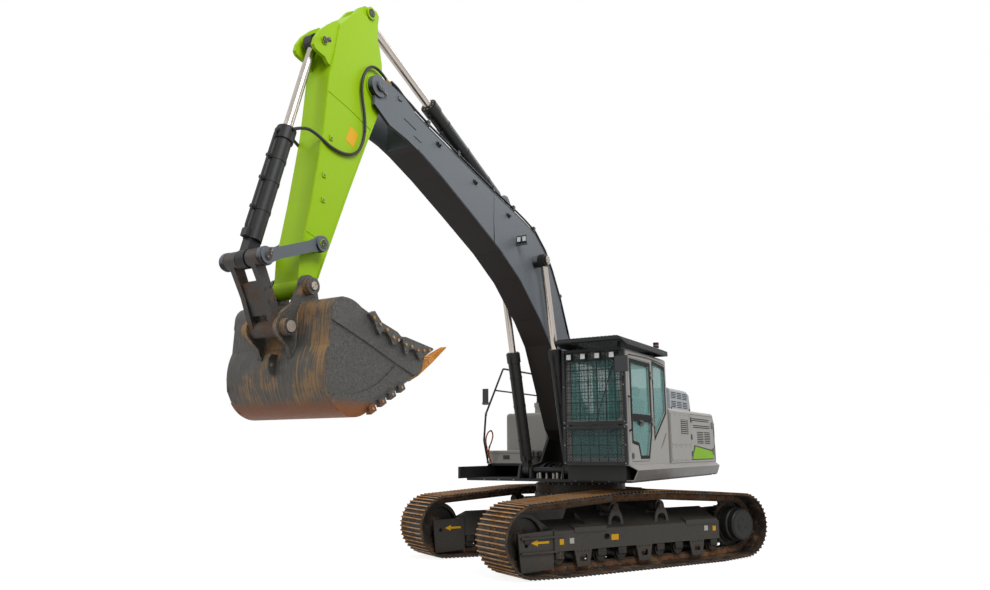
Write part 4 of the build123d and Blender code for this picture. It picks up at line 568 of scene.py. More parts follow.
# Valve block between the girders and the hoses that leave it
bm = bmesh.new()
slab(bm, (660, 860), (-150, 150), (1300, 1470), bevel=6)
for y in (-110, -40, 40, 110):
    rod(bm, at(860, y, 1400), at(884, y, 1400), 34, sides=20, bevel=2)
mesh_piece("swing_valve", bm, black_paint, "house")
brass = bmesh.new()
steel = bmesh.new()
bm = bmesh.new()
for y, x_end, z_top in ((-200, 1120, 1470), (-140, 1160, 1500), (-60, 1100, 1480), (60, 1120, 1480),
                        (140, 1160, 1500), (200, 1120, 1470)):
    start = at(640, y * 0.8, 1440)
    line = route([start, at(760, y * 0.9, 1500), at(900, y, z_top + 30), at(1040, y, z_top + 10),
                  at(x_end, y * 1.05, 1420), at(x_end + 10, y * 1.08, 1298)])
    tube(bm, line, 15)
    fitting(brass if y in (-60, 140) else steel, line[0], line[2] - line[0], 15)
    fitting(steel, line[-1] + Vector((0, 0, 0.09)), Vector((0, 0, -1)), 15)
mesh_piece("deck_hoses", bm, rubber, "house", smooth=True)
mesh_piece("deck_hose_nuts", brass, brass_metal, "house")
mesh_piece("deck_hose_ends", steel, cap_steel, "house")

# ------------------------------------------------ side doors
# Pressed sheet doors on both sides of the house, powder coated, hinged at the rear. They
# have pressed grilles with dark mesh behind them, darkened by painted shade, and three
# bolted latches.


def prism(bm, outline, y_low, y_high):
    """Outline of (x, z) in millimetres, extruded across from y_low to y_high."""
    near = [bm.verts.new(at(x, y_low, z)) for x, z in outline]
    base = bm.faces.new(near)
    grown = bmesh.ops.extrude_face_region(bm, geom=[base])["geom"]
    moved = [item for item in grown if isinstance(item, bmesh.types.BMVert)]
    bmesh.ops.translate(bm, verts=moved, vec=(0, (y_high - y_low) * MM, 0))
    faces = {face for vert in near + moved for face in vert.link_faces}
    bmesh.ops.recalc_face_normals(bm, faces=list(faces))


# Powder coat on sheet: warm light grey with an even sheen
house_paint = paint("house_paint", "97948f", "8a8070", roughness=0.34, dust=0.15, sheen=0.4)

# Painted wire mesh, with the shade behind grilles and louvres painted into it: dark brown and dusty
grille_mesh_and_shade = paint("grille_mesh_and_shade", "2b2724", "4a423a", roughness=0.7, dust=0.5)

# Printed vinyl: lime, without gloss
lime_film = paint("lime_film", "8cc40a", "7d8050", roughness=0.5, dust=0.12, sheen=0.15)

# Printed vinyl: dark grey, also laid as painted shade in the counterweight's recesses
dark_film_and_shade = paint("dark_film_and_shade", "2a2c2e", "6f6a62", roughness=0.55, dust=0.2, sheen=0.15)

for node, finish in (("side_door_left", house_paint), ("side_door_right", house_paint)):
    dress(node, finish)

LATCHES = ((-1500, 1950), (-1500, 1660), (-1500, 2250))
for name, hand in (("side_door_left", 1), ("side_door_right", -1)):
    face = 1500 * hand
    out = Vector((0, hand, 0))
    # Dark mesh behind the grilles, its darkness partly painted shade, then the latch plates and
    # their latches
    bm = bmesh.new()
    for x_front, x_rear, z_low, z_high in ((-1560, -2640, 2229, 2306), (-1600, -2680, 2109, 2186),
                                           (-1830, -2240, 1834, 2076), (-2290, -2680, 1834, 2076)):
        slab(bm, (x_rear - 6, x_front + 6), sorted((face - hand * 46, face - hand * 41)),
             (z_low, z_high))
    mesh_piece(f"grille_mesh_and_shade_{name}", bm, grille_mesh_and_shade, name)
    bm = bmesh.new()
    for x, z in LATCHES:
        slab(bm, (x - 28, x + 28), sorted((face, face + hand * 7)), (z - 46, z + 46), bevel=3)
    mesh_piece(f"latch_plates_{name}", bm, black_paint, name)
    bm = bmesh.new()
    for x, z in LATCHES:
        rod(bm, at(x, face + hand * 7, z + 22), at(x, face + hand * 12, z + 22), 13, sides=20)
        slab(bm, (x - 12, x + 12), sorted((face + hand * 7, face + hand * 18)), (z - 36, z + 2),
             bevel=3)
    mesh_piece(f"latches_{name}", bm, bolt_steel, name)
    # Rivets along the grilles
    bm = bmesh.new()
    for z in (1816, 2094):
        for step in range(9):
            rod(bm, at(-1860 - 100 * step, face, z), at(-1860 - 100 * step, face + hand * 3, z), 7,
                sides=10)
    mesh_piece(f"grille_rivets_{name}", bm, house_paint, name)


# Broad lime panel with a dark border on the cab side's door, left bare
def slanted_panel(bm, grow, y_near, y_far):
    prism(bm, [(-1690 + 2.2 * grow, 1786 + grow), (-2830, 1694 + grow), (-2830, 1566 - grow / 2),
               (-1490 + 1.4 * grow, 1566 - grow / 2)], y_near, y_far)


bm = bmesh.new()
slanted_panel(bm, 0, 1502, 1503.5)
mesh_piece("lime_band", bm, lime_film, "side_door_left")
bm = bmesh.new()
slanted_panel(bm, 24, 1500, 1502)
mesh_piece("lime_band_border", bm, dark_film_and_shade, "side_door_left")

# ------------------------------------------------ counterweight
# One heavy iron casting behind the house, which balances the boom and its load. It is
# painted dark blue-grey and bolted to the deck's tail.

# Enamel on plate: dark blue-grey; where it faces the ground, brown with dried soil and darkened by
# painted shade
charcoal_paint = paint("charcoal_paint", "646a70", "7d7468", roughness=0.5, dust=0.2,
                       sheen=0.14, grime_and_shade="1f140b")

dress("counterweight", charcoal_paint)

# Two strips of painted shade in the recesses on each side of the counterweight, and the bolts
# beside them
bm = bmesh.new()
for hand in (1, -1):
    for z_low, z_high in ((1975, 2215), (1560, 1800)):
        slab(bm, (-3090, -2945), sorted((hand * 1470, hand * 1476)), (z_low, z_high), bevel=2)
mesh_piece("counterweight_recess_shade", bm, dark_film_and_shade, "house")
bm = bmesh.new()
for hand in (1, -1):
    for x in (-3060, -2975):
        for z in (1545, 1815, 1960, 2230):
            bolt(bm, at(x, hand * 1470, z), Vector((0, hand, 0)), 13, 9)
mesh_piece("counterweight_bolts", bm, bolt_steel, "house")

# ------------------------------------------------ house panels, hood, tank and tool box
# Sheet steel covers over the engine and beside the boom, powder coated. Panels are bolted
# along their edges; the hood and the tool box lid hang on hinges.

# Powder coat on sheet: cooler, lighter grey
hood_paint = paint("hood_paint", "9da2a8", "8f8c86", roughness=0.34, dust=0.18, sheen=0.4)

# Moulded ABS: near black with a grain of about 2.4 mm, drawn coarse enough to show
plastic, tree, shader, where = surface("plastic", "16181b", 0.48)
grain = add(tree, "ShaderNodeTexVoronoi", {"Vector": where, "Scale": 420.0})
bump = add(tree, "ShaderNodeBump", {"Height": grain.outputs["Distance"], "Strength": 0.12,
                                   "Distance": 0.001})
tree.links.new(bump.outputs["Normal"], shader.inputs["Normal"])

for node, finish in (("house", house_paint), ("hood", hood_paint), ("fuel_tank", house_paint),
                     ("tool_box", house_paint), ("tool_lid", house_paint)):
    dress(node, finish)

bm = bmesh.new()
# cover strip and panel joints of the house side between the cab and the door
for z_low, z_high in ((1550, 1790), (1810, 2330)):
    slab(bm, (-1390, -350), (1500, 1506), (z_low, z_high), bevel=4)
slab(bm, (-1390, -350), (1485, 1504), (2344, 2352), bevel=2)
mesh_piece("house_panels", bm, house_paint, "house")
bm = bmesh.new()
for x in (-1370, -1110, -850, -590, -370):
    for z in (1566, 1774, 1826, 2314):
        bolt(bm, at(x, 1506, z), Vector((0, 1, 0)), 8, 5)
for x, y in ((-3080, 900), (-3080, -900), (-3250, 0)):
    bolt(bm, at(x, y, 2330), Vector((0, 0, 1)), 16, 9)
mesh_piece("house_bolts", bm, bolt_steel, "house")
# vent in the house side, behind the cab
bm = bmesh.new()
for row in range(7):
    slab(bm, (-1290, -900), (1504, 1512), (2010 + 34 * row, 2026 + 34 * row), bevel=2)
mesh_piece("house_vent", bm, house_paint, "house")
# dark sheet behind the vent's slats: painted mesh and the shade behind it
bm = bmesh.new()
slab(bm, (-1300, -890), (1505, 1507.5), (1996, 2240))
mesh_piece("house_vent_back_shade", bm, grille_mesh_and_shade, "house")

# Hood: dark mesh behind its louvres, partly painted shade, two latches and two bent-rod handles
bm = bmesh.new()
slab(bm, (-2625, -1590), (1084, 1090), (2485, 2830))
slab(bm, (-2625, -1590), (-350, -344), (2485, 2830))
mesh_piece("hood_mesh_and_shade", bm, grille_mesh_and_shade, "hood")
bm = bmesh.new()
for x in (-1600, -2700):
    slab(bm, (x - 14, x + 14), (1120, 1131), (2425, 2500), bevel=3)
    rod(bm, at(x, 1131, 2442), at(x, 1137, 2442), 10, sides=16)
mesh_piece("hood_latches", bm, black_paint, "hood")
bm = bmesh.new()
for x in (-1800, -2450):
    tube(bm, route([at(x - 70, 380, 2849), at(x - 70, 380, 2890), at(x - 50, 380, 2905),
                    at(x + 50, 380, 2905), at(x + 70, 380, 2890), at(x + 70, 380, 2849)]), 9)
mesh_piece("hood_handles", bm, black_paint, "hood", smooth=True)

# Tank: the filler cap's grip and two straps; tool box: latches and a recessed pull
bm = bmesh.new()
slab(bm, (-390, -270), (-960, -940), (2575, 2598), bevel=5)
for x in (-300, -1130):
    slab(bm, (x - 30, x + 30), (-1503, -1500), (1600, 2330))
mesh_piece("tank_fittings", bm, black_paint, "house")
bm = bmesh.new()
for x in (160, 300):
    slab(bm, (x - 22, x + 22), (-1512, -1501), (1630, 1700), bevel=3)
mesh_piece("tool_box_latches", bm, bolt_steel, "house")
bm = bmesh.new()
slab(bm, (500, 504), (-1215, -1085), (1580, 1650), bevel=2)
slab(bm, (504, 514), (-1185, -1115), (1606, 1626), bevel=3)
mesh_piece("tool_box_pull", bm, plastic, "house")

# ------------------------------------------------ handrail and its cable
# Steel tube, bent and painted black, with bolted clamps. A cable in an orange jacket is
# tied along it with rubber bands.

# Cable jacket: faded orange, dusty
orange_jacket = paint("orange_jacket", "b0542a", "5a4233", roughness=0.6, dust=0.45)

dress("handrails", black_paint)

RAIL_Y = -1440
bm = bmesh.new()
for x, z in ((700, 2350), (758, 1900)):
    rod(bm, at(x - 6, RAIL_Y, z - 26), at(x - 6, RAIL_Y, z + 26), 20.5, sides=18)
for z in (2400, 2790):
    rod(bm, at(-1240, RAIL_Y, z - 14), at(-1240, RAIL_Y, z + 14), 21, sides=18)
for spot in ((633, 1553), (-1240, 2396)):
    bolt(bm, at(spot[0] + 30, RAIL_Y, spot[1] - 32), Vector((0, 0, 1)), 10, 10)
mesh_piece("handrail_clamps", bm, bolt_steel, "house")
bm = bmesh.new()
cable = route([at(*spot) for spot in (
    (640, -1440, 1580), (660, -1418, 1640), (633, -1414, 1790), (560, -1412, 1870),
    (498, -1412, 1990), (560, -1412, 2080), (680, -1412, 2040), (765, -1412, 1909),
    (690, -1410, 1700), (602, -1408, 1560), (590, -1406, 1524))])
tube(bm, cable, 12)
mesh_piece("handrail_cable", bm, orange_jacket, "house", smooth=True)
bm = bmesh.new()
for number in (14, 40, 62):
    place = cable[min(number, len(cable) - 2)]
    ahead = (cable[min(number + 1, len(cable) - 1)] - place).normalized()
    rod(bm, place - ahead * 22 * MM, place + ahead * 22 * MM, 14, sides=14)
mesh_piece("cable_bands", bm, rubber, "house")

# ------------------------------------------------ cab guards
# Bolted guards over the cab's front and roof: bar frames, square woven wire above and wire
# set aslant below. Four square lamps stand on a rail across the top.

# Powder coat on bar: near black, satin
guard_paint = paint("guard_paint", "2a2c2e", "5d574f", roughness=0.5, dust=0.2, sheen=0.16)

# Painted guard wire: dark grey and dusty
guard_wire = paint("guard_wire", "2e3032", "6d675f", roughness=0.55, dust=0.35)

# Moulded lamp lens: white, with flutes about 7 mm apart
lens, tree, shader, where = surface("lamp_lens", "e4e6e6", 0.08)
flutes = add(tree, "ShaderNodeTexWave", {"Vector": where, "Scale": 42.0})
bump = add(tree, "ShaderNodeBump", {"Height": flutes.outputs["Fac"], "Strength": 0.4,
                                   "Distance": 0.002})
tree.links.new(bump.outputs["Normal"], shader.inputs["Normal"])

# Moulded acrylic dome: amber, with flutes about 10 mm apart
amber, tree, shader, where = surface("amber_dome", "c8741a", 0.1)
flutes = add(tree, "ShaderNodeTexWave", {"Vector": where, "Scale": 30.0},
             bands_direction="Z")
bump = add(tree, "ShaderNodeBump", {"Height": flutes.outputs["Fac"], "Strength": 0.3,
                                   "Distance": 0.002})
tree.links.new(bump.outputs["Normal"], shader.inputs["Normal"])

for node, finish in (("front_guard", guard_paint), ("top_guard", guard_paint)):
    dress(node, finish)

bm = bmesh.new()
for z_low, z_high in ((2140, 3170), (1565, 2030)):
    # square wire of the upper screen; the lower one runs aslant
    if z_low > 2000:
        for step in range(21):
            y = 525 + 48 * step
            rod(bm, at(1638, y, z_low - 20), at(1638, y, z_high), 4, sides=6)
        for step in range(int((z_high - z_low) / 48) + 1):
            z = z_low + 48 * step
            rod(bm, at(1633, 520, z), at(1633, 1487, z), 4, sides=6)
    else:
        for lean in (1, -1):
            for step in range(-12, 34):
                y_low = 520 + 46 * step
                y_high = y_low + lean * (z_high - z_low)
                ends = []
                for y, z in ((y_low, z_low), (y_high, z_high)):
                    share = 0.0
                    limit = min(max(y, 520), 1487)
                    if y != limit:
                        share = (limit - y) / ((y_high - y_low) if y == y_low else (y_low - y_high))
                    other = (y_high, z_high) if y == y_low else (y_low, z_low)
                    ends.append((y + (other[0] - y) * share, z + (other[1] - z) * share))
                (y_a, z_a), (y_b, z_b) = ends
                if abs(y_a - y_b) > 30 and 519 < y_a < 1488 and 519 < y_b < 1488:
                    rod(bm, at(1636 + lean * 3.5, y_a, z_a), at(1636 + lean * 3.5, y_b, z_b), 3.6,
                        sides=6)
mesh_piece("screen_wire", bm, guard_wire, "house")
LAMP_ROW = (640, 870, 1100, 1330)
bm = bmesh.new()
for y in LAMP_ROW:
    slab(bm, (1700, 1703), (y - 38, y + 38), (3062, 3138), bevel=1)
mesh_piece("lamp_lenses", bm, lens, "house")
bm = bmesh.new()
for y in LAMP_ROW:
    for low, high, z_low, z_high in ((-44, 44, 3138, 3145), (-44, 44, 3055, 3062),
                                     (-44, -38, 3062, 3138), (38, 44, 3062, 3138)):
        slab(bm, (1700, 1707), (y + low, y + high), (z_low, z_high))
mesh_piece("lamp_bezels", bm, black_paint, "house")
bm = bmesh.new()
for z in (2130, 2660, 3190, 1540, 1800, 2055):
    for y in (526, 1482):
        bolt(bm, at(1655, y, z), Vector((1, 0, 0)), 10, 8)
for x in (60, 560, 1060, 1560):
    bolt(bm, at(x, 1570, 3285), Vector((0, 1, 0)), 10, 0.8)
mesh_piece("guard_bolts", bm, bolt_steel, "house")
# Beacon's amber dome
bm = bmesh.new()
bmesh.ops.create_uvsphere(bm, u_segments=24, v_segments=12, radius=0.049,
                          matrix=Matrix.Translation(at(-240, 1350, 3449)))
mesh_piece("beacon_dome", bm, amber, "house", smooth=True)

# ------------------------------------------------ cab body
# The cab is pressed and welded sheet with tinted glass bonded in behind dark borders.
# Inside are moulded controls and a cloth head lining.

# Tinted safety glass: green-blue and half clear, the tint made light to paint in the reflections on
# it, with smears about 400 mm across
glass, tree, shader, where = surface("tinted_glass_and_reflection", "5fb3ac", 0.04, sheen=0.8)
shader.inputs["Alpha"].default_value = 0.42
smears = add(tree, "ShaderNodeTexNoise", {"Vector": where, "Scale": 2.5, "Detail": 6.0})
haze = add(tree, "ShaderNodeMapRange", {"Value": smears.outputs["Fac"], "From Min": 0.45,
                                       "From Max": 0.75, "To Min": 0.03, "To Max": 0.2})
tree.links.new(haze.outputs["Result"], shader.inputs["Roughness"])

# Woven seat cloth: near black and matt, threads about 3 mm, coarser than real ones
fabric, tree, shader, where = surface("seat_fabric", "1d1e21", 0.9)
weave = add(tree, "ShaderNodeTexNoise", {"Vector": where, "Scale": 320.0, "Detail": 3.0})
bump = add(tree, "ShaderNodeBump", {"Height": weave.outputs["Fac"], "Strength": 0.5,
                                   "Distance": 0.002})
tree.links.new(bump.outputs["Normal"], shader.inputs["Normal"])

# Printed border on glass: near black and matt
window_black = paint("window_black", "121314", "34322f", roughness=0.6, dust=0.15, sheen=0.1)

# Screen that is switched off: black glass with smears about 70 mm across
screen_glass, tree, shader, where = surface("screen_glass", "0d1114", 0.12)
smears = add(tree, "ShaderNodeTexNoise", {"Vector": where, "Scale": 14.0, "Detail": 4.0})
film = add(tree, "ShaderNodeMapRange", {"Value": smears.outputs["Fac"], "To Min": 0.08,
                                       "To Max": 0.3})
tree.links.new(film.outputs["Result"], shader.inputs["Roughness"])

for node, finish in (("cab", house_paint), ("cab_door", house_paint), ("cab_glass", glass),
                     ("door_glass", glass)):
    dress(node, finish)

SEALS = (
    # side windows as outlines of (x, z), their plane and its near side, frame width, body
    ("door", [(1360, 2250), (1360, 3010), (580, 3010), (580, 2250)], (1490, 1492.5), 58,
     "cab_door"),
    ("door_low", [(1360, 1860), (1360, 2150), (580, 2150), (580, 1990), (715, 1640), (1040, 1640),
                  (1120, 1830)], (1490, 1492.5), 44, "cab_door"),
    ("quarter", [(400, 3085), (-150, 3040), (-150, 2330), (400, 1930)], (1490, 1492.5), 34,
     "house"),
    ("right_front", [(1480, 1800), (1480, 3085), (500, 3085), (500, 1800)], (502.5, 505), 22,
     "house"),
    ("right_rear", [(400, 2000), (400, 3085), (-180, 3085), (-180, 2000)], (502.5, 505), 22,
     "house"),
)


def window_frame(bm, outline, inward, outward, y_near, y_far):
    """Flat frame that follows an outline of (x, z), wide by inward and outward from it."""
    area = sum(x_a * z_b - x_b * z_a for (x_a, z_a), (x_b, z_b)
               in zip(outline, outline[1:] + outline[:1]))
    sense = 1 if area > 0 else -1
    rings = []
    for grow in (-inward, outward):
        ring = []
        for number, corner in enumerate(outline):
            corner = Vector(corner)
            before = (corner - Vector(outline[number - 1])).normalized()
            after = (Vector(outline[(number + 1) % len(outline)]) - corner).normalized()
            normal = Vector((before.y + after.y, -before.x - after.x)).normalized() * sense
            reach = grow / max(0.35, normal.dot(Vector((before.y, -before.x)) * sense))
            ring.append(corner + normal * reach)
        rings.append(ring)
    (in_near, out_near), (in_far, out_far) = [
        [[bm.verts.new(at(spot.x, y, spot.y)) for spot in ring] for ring in rings]
        for y in (y_near, y_far)]
    faces = []
    for number in range(len(outline)):
        after = (number + 1) % len(outline)
        for quad in ((in_near[number], in_near[after], out_near[after], out_near[number]),
                     (in_far[number], out_far[number], out_far[after], in_far[after]),
                     (in_near[number], in_far[number], in_far[after], in_near[after]),
                     (out_near[number], out_near[after], out_far[after], out_far[number])):
            faces.append(bm.faces.new(quad))
    bmesh.ops.recalc_face_normals(bm, faces=faces)


for name, outline, (y_near, y_far), width, body in SEALS:
    bm = bmesh.new()
    window_frame(bm, outline, 5, width, y_near, y_far)
    mesh_piece(f"seal_{name}", bm, window_black, body)

# Painted shade on the floors of the slanted louvres
bm = bmesh.new()
for slot in range(5):
    x, z = 150 - 34 * slot, 1750 + 26 * slot
    prism(bm, [(x - 4, z + 2), (x - 20, z - 14), (x - 164, z + 130), (x - 150, z + 144)],
          1467.6, 1469)
mesh_piece("louvre_floor_shade", bm, grille_mesh_and_shade, "house")

bm = bmesh.new()
# door handle in its recess, rubbing strip and round cover below the front edge
slab(bm, (900, 1060), (1490, 1494), (2088, 2168), bevel=2)
slab(bm, (930, 1040), (1494, 1512), (2118, 2140), bevel=5)
rod(bm, at(1385, 1488, 1642), at(1385, 1496, 1642), 46, sides=32, bevel=2)
mesh_piece("door_handle", bm, plastic, "cab_door")
bm = bmesh.new()
slab(bm, (1492, 1498), (1487, 1492), (1700, 3020), bevel=1)
# gutter over the door and grab rail on the front post
tube(bm, route([at(1440, 1492, 3120), at(900, 1494, 3140), at(300, 1494, 3140),
                at(-160, 1492, 3100)]), 8, sides=8)
mesh_piece("cab_gutter", bm, black_paint, "house", smooth=True)
bm = bmesh.new()
tube(bm, route([at(1500, 1490, 2000), at(1500, 1535, 2010), at(1500, 1535, 2060),
                at(1500, 1535, 2440), at(1500, 1535, 2490), at(1500, 1490, 2500)]), 13, sides=12)
mesh_piece("grab_rail", bm, black_paint, "house", smooth=True)

# Wiper on the front window
bm = bmesh.new()
rod(bm, at(1594, 1000, 2110), at(1594, 1230, 2760), 5, sides=8)
block(bm, at(1592, 1230, 2760), Vector((0, 0.33, 0.94)), Vector((1, 0, 0)), (560, 9, 12))
slab(bm, (1590, 1602), (960, 1040), (2092, 2128), bevel=4)
mesh_piece("wiper", bm, rubber, "house")

# Controls: monitor on the right post, two joysticks, travel levers and pedals
bm = bmesh.new()
slab(bm, (1330, 1385), (590, 780), (2230, 2390), bevel=8)
rod(bm, at(1400, 600, 2150), at(1365, 680, 2240), 11)
for y in (640, 1355):
    rod(bm, at(905, y, 2060), at(925, y, 2170), 10)
    rod(bm, at(925, y, 2165), at(935, y, 2275), 23, sides=16, bevel=8)
    slab(bm, (868, 950), (y - 34, y + 34), (2058, 2076), bevel=5)
for y in (930, 1060):
    rod(bm, at(1330, y, 1560), at(1300, y, 2150), 9)
    rod(bm, at(1300, y, 2150), at(1296, y, 2240), 16, sides=14, bevel=4)
    slab(bm, (1270, 1420), (y - 45, y + 45), (1600, 1612), bevel=3)
mesh_piece("cab_controls", bm, plastic, "house")
bm = bmesh.new()
slab(bm, (1326, 1330), (604, 766), (2244, 2376))
mesh_piece("monitor_screen", bm, screen_glass, "house")

# Rolled blind box and head lining
bm = bmesh.new()
rod(bm, at(1480, 600, 3110), at(1480, 1390, 3110), 24, sides=16)
slab(bm, (-220, 1500), (570, 1425), (3126, 3140), bevel=4)
mesh_piece("head_lining", bm, fabric, "house")

# ------------------------------------------------ seat
# Foam cushions under woven cloth, swelled between their seams. They lie on a moulded pan
# over a folded suspension base, with a console and an armrest on each side.

dress("cab_seat", fabric)

CROWN = 0.035  # how far a cushion's top swells, in metres


def cushion(name, x, y, z, tilt=0.0):
    """Crowned cushion with pulled-in sides: a subdivided block swelled between its seams."""
    bm = bmesh.new()
    bmesh.ops.create_cube(bm, size=1)
    bmesh.ops.subdivide_edges(bm, edges=bm.edges[:], cuts=7, use_grid_fill=True)
    length, width = (x[1] - x[0]) * MM, (y[1] - y[0]) * MM
    height = (z[1] - z[0]) * MM
    for vert in bm.verts:
        a, b, c = vert.co.x * 2, vert.co.y * 2, vert.co.z * 2
        round_in = 1 - 0.045 * (abs(c) ** 2) * (abs(a) ** 4 + abs(b) ** 4)
        groove = 0.10 * math.exp(-((abs(b) - 0.52) / 0.07) ** 2) * (c > 0)
        rise = CROWN * (1 - a ** 2) * (1 - b ** 2) / max(height, 0.001) * (c > 0)
        vert.co = Vector((a * length / 2 * round_in, b * width / 2 * round_in,
                          height / 2 * (c * (1 - 0.18 * (a ** 6 + b ** 6) / 2) + rise - groove)))
    middle = at((x[0] + x[1]) / 2, (y[0] + y[1]) / 2, (z[0] + z[1]) / 2)
    matrix = Matrix.Translation(middle) @ Matrix.Rotation(tilt, 4, "Y")
    bmesh.ops.transform(bm, matrix=matrix, verts=bm.verts[:])
    bmesh.ops.smooth_vert(bm, verts=bm.verts[:], factor=0.3, use_axis_x=True, use_axis_y=True,
                          use_axis_z=True)
    piece = mesh_piece(name, bm, fabric, "house", smooth=True)
    soft = piece.modifiers.new("soft", "SUBSURF")
    soft.levels = soft.render_levels = 1
    return piece


seat_y = 997.5
base = cushion("seat_base", (240, 780), (seat_y - 252, seat_y + 252), (1900, 2025))
cushion("seat_back", (115, 235), (seat_y - 240, seat_y + 240), (2030, 2560), tilt=-0.22)
cushion("seat_head", (60, 140), (seat_y - 150, seat_y + 150), (2580, 2740), tilt=-0.15)
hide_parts("cab_seat")
bm = bmesh.new()
# suspension base, pan, back shell and armrests with their consoles
slab(bm, (255, 775), (seat_y - 225, seat_y + 225), (1560, 1640), bevel=8)
for fold in range(5):
    slab(bm, (275 + 6 * (fold % 2), 755 - 6 * (fold % 2)),
         (seat_y - 205, seat_y + 205), (1642 + 46 * fold, 1684 + 46 * fold), bevel=12)
slab(bm, (245, 785), (seat_y - 240, seat_y + 240), (1876, 1898), bevel=5)
for hand in (1, -1):
    y = seat_y + hand * 310
    slab(bm, (305, 415), (y - 28, y + 28), (1560, 1990), bevel=10)
    slab(bm, (300, 975), (y - 30, y + 30), (1992, 2056), bevel=18)
mesh_piece("seat_frame", bm, plastic, "house")

# ------------------------------------------------ mirrors
# Moulded black housings with silvered glass set into their faces. One is held by the
# guard in front of the cab, the other by the handrail.

# Silvered glass: a near-perfect mirror with a faint haze in patches of about 170 mm
mirror_silver, tree, shader, where = surface("mirror_silver", "d5d8da", 0.03, metallic=1.0)
haze = add(tree, "ShaderNodeTexNoise", {"Vector": where, "Scale": 6.0, "Detail": 4.0})
film = add(tree, "ShaderNodeMapRange", {"Value": haze.outputs["Fac"], "From Min": 0.45,
                                       "From Max": 0.75, "To Min": 0.03, "To Max": 0.18})
tree.links.new(film.outputs["Result"], shader.inputs["Roughness"])

dress("mirrors", plastic)

bm = bmesh.new()
slab(bm, (1698, 1700), (1405, 1580), (2850, 3060), bevel=1)
slab(bm, (378.5, 380), (-1672, -1588), (2545, 2800))
mesh_piece("mirror_faces", bm, mirror_silver, "house")

# ------------------------------------------------ boom
# A welded box of plate, bent once, painted dark blue-grey. Steel oil pipes run on clamps
# along its back, with hoses over the fork at the top and down to the deck.

PINS = {
    # pin centres as (x, z), millimetres from the slew axis
    "boom_foot": (200, 2050), "boom_tip": (5800, 5870), "lift_foot": (1165, 1425),
    "lift_eye": (1955, 4587), "crowd_foot": (2640, 5385), "crowd_eye": (5840, 6815),
    "curl_eye": (6630, 6070), "curl_foot": (7360, 3500), "guide": (6652, 3775),
    "bucket": (6760, 3320), "link": (7040, 2880),
}


def pin_cap(plates, bolts, pin, y, radius, count=3, thick=6):
    """Round cap with its bolts on the end of a pin, on the side that y is on."""
    x, z = PINS[pin]
    way = Vector((0, math.copysign(1, y), 0))
    foot = at(x, y, z)
    rod(plates, foot, foot + way * thick * MM, radius, sides=28, bevel=2)
    bolt_ring(bolts, foot + way * thick * MM, way, radius * 0.6, count, 8, 7)


def keeper(plates, bolts, pin, y, angle, reach=118):
    """Keeper plate that holds a pin's head: a bar from the pin with two bolts at its end."""
    x, z = PINS[pin]
    way = Vector((0, math.copysign(1, y), 0))
    arm_way = Vector((math.cos(math.radians(angle)), 0, math.sin(math.radians(angle))))
    middle = at(x, y, z) + arm_way * reach * 0.5 * MM + way * 5 * MM
    block(plates, middle, arm_way, way, (reach, 44, 10), bevel=3)
    for along in (reach * 0.62, reach * 0.86):
        bolt(bolts, at(x, y, z) + arm_way * along * MM + way * 10 * MM, way, 10, 8)


def outside(points, lift, y):
    """Points set off to the left of a line of (x, z), as places at one y."""
    placed = []
    for number, (x, z) in enumerate(points):
        before = Vector(points[max(number - 1, 0)])
        after = Vector(points[min(number + 1, len(points) - 1)])
        run = (after - before).normalized()
        placed.append(at(x - run.y * lift, y, z + run.x * lift))
    return placed


dress("boom", charcoal_paint)

BOOM_BACK = [(828, 3588), (1101, 4130), (1373, 4544), (1609, 4824), (1941, 5056), (2265, 5151),
             (2575, 5226), (3158, 5353), (4072, 5576), (4766, 5745), (5065, 5831)]
bm = bmesh.new()
clamps = bmesh.new()
hoses = bmesh.new()
for hand in (1, -1):
    for y, lift in ((188, 70), (216, 40)):
        tube(bm, outside(BOOM_BACK, lift, hand * y), 15)
        # the last stretch is a hose that leads over the fork
        end = outside(BOOM_BACK, lift, hand * y)[-1]
        line = route([end, end + Vector((0.10, 0, 0.04)), end + Vector((0.24, 0, 0.075)),
                      at(5440, hand * (y + 10), 6010), at(5560, hand * (y + 12), 6030)])
        tube(hoses, line, 15)
        fitting(hoses, end - Vector((0.07, 0, 0.016)), Vector((0.97, 0, 0.24)), 11)
        # and the first one comes up from the house
        first = outside(BOOM_BACK, lift, hand * y)[0]
        line = route([first, first + Vector((-0.10, 0, -0.2)), at(470, hand * y * 0.9, 3060),
                      at(240, hand * y * 0.8, 2560), at(120, hand * y * 0.8, 2330)])
        tube(hoses, line, 14)
    for number in (1, 4, 6, 7, 8, 9):
        x, z = BOOM_BACK[number]
        run = (Vector(BOOM_BACK[number + 1]) - Vector((x, z))).normalized()
        foot = at(x + run.x * 40, hand * 203, z + run.y * 40)
        upward = Vector((-run.y, 0, run.x))
        block(clamps, foot + upward * 0.040, Vector((run.x, 0, run.y)), upward, (52, 70, 80), 4)
        bolt(clamps, foot + upward * 0.080, upward, 9, 8)
mesh_piece("boom_pipes", bm, black_paint, "boom", smooth=True)
mesh_piece("boom_pipe_clamps", clamps, black_paint, "boom")
mesh_piece("boom_hoses", hoses, rubber, "boom", smooth=True)

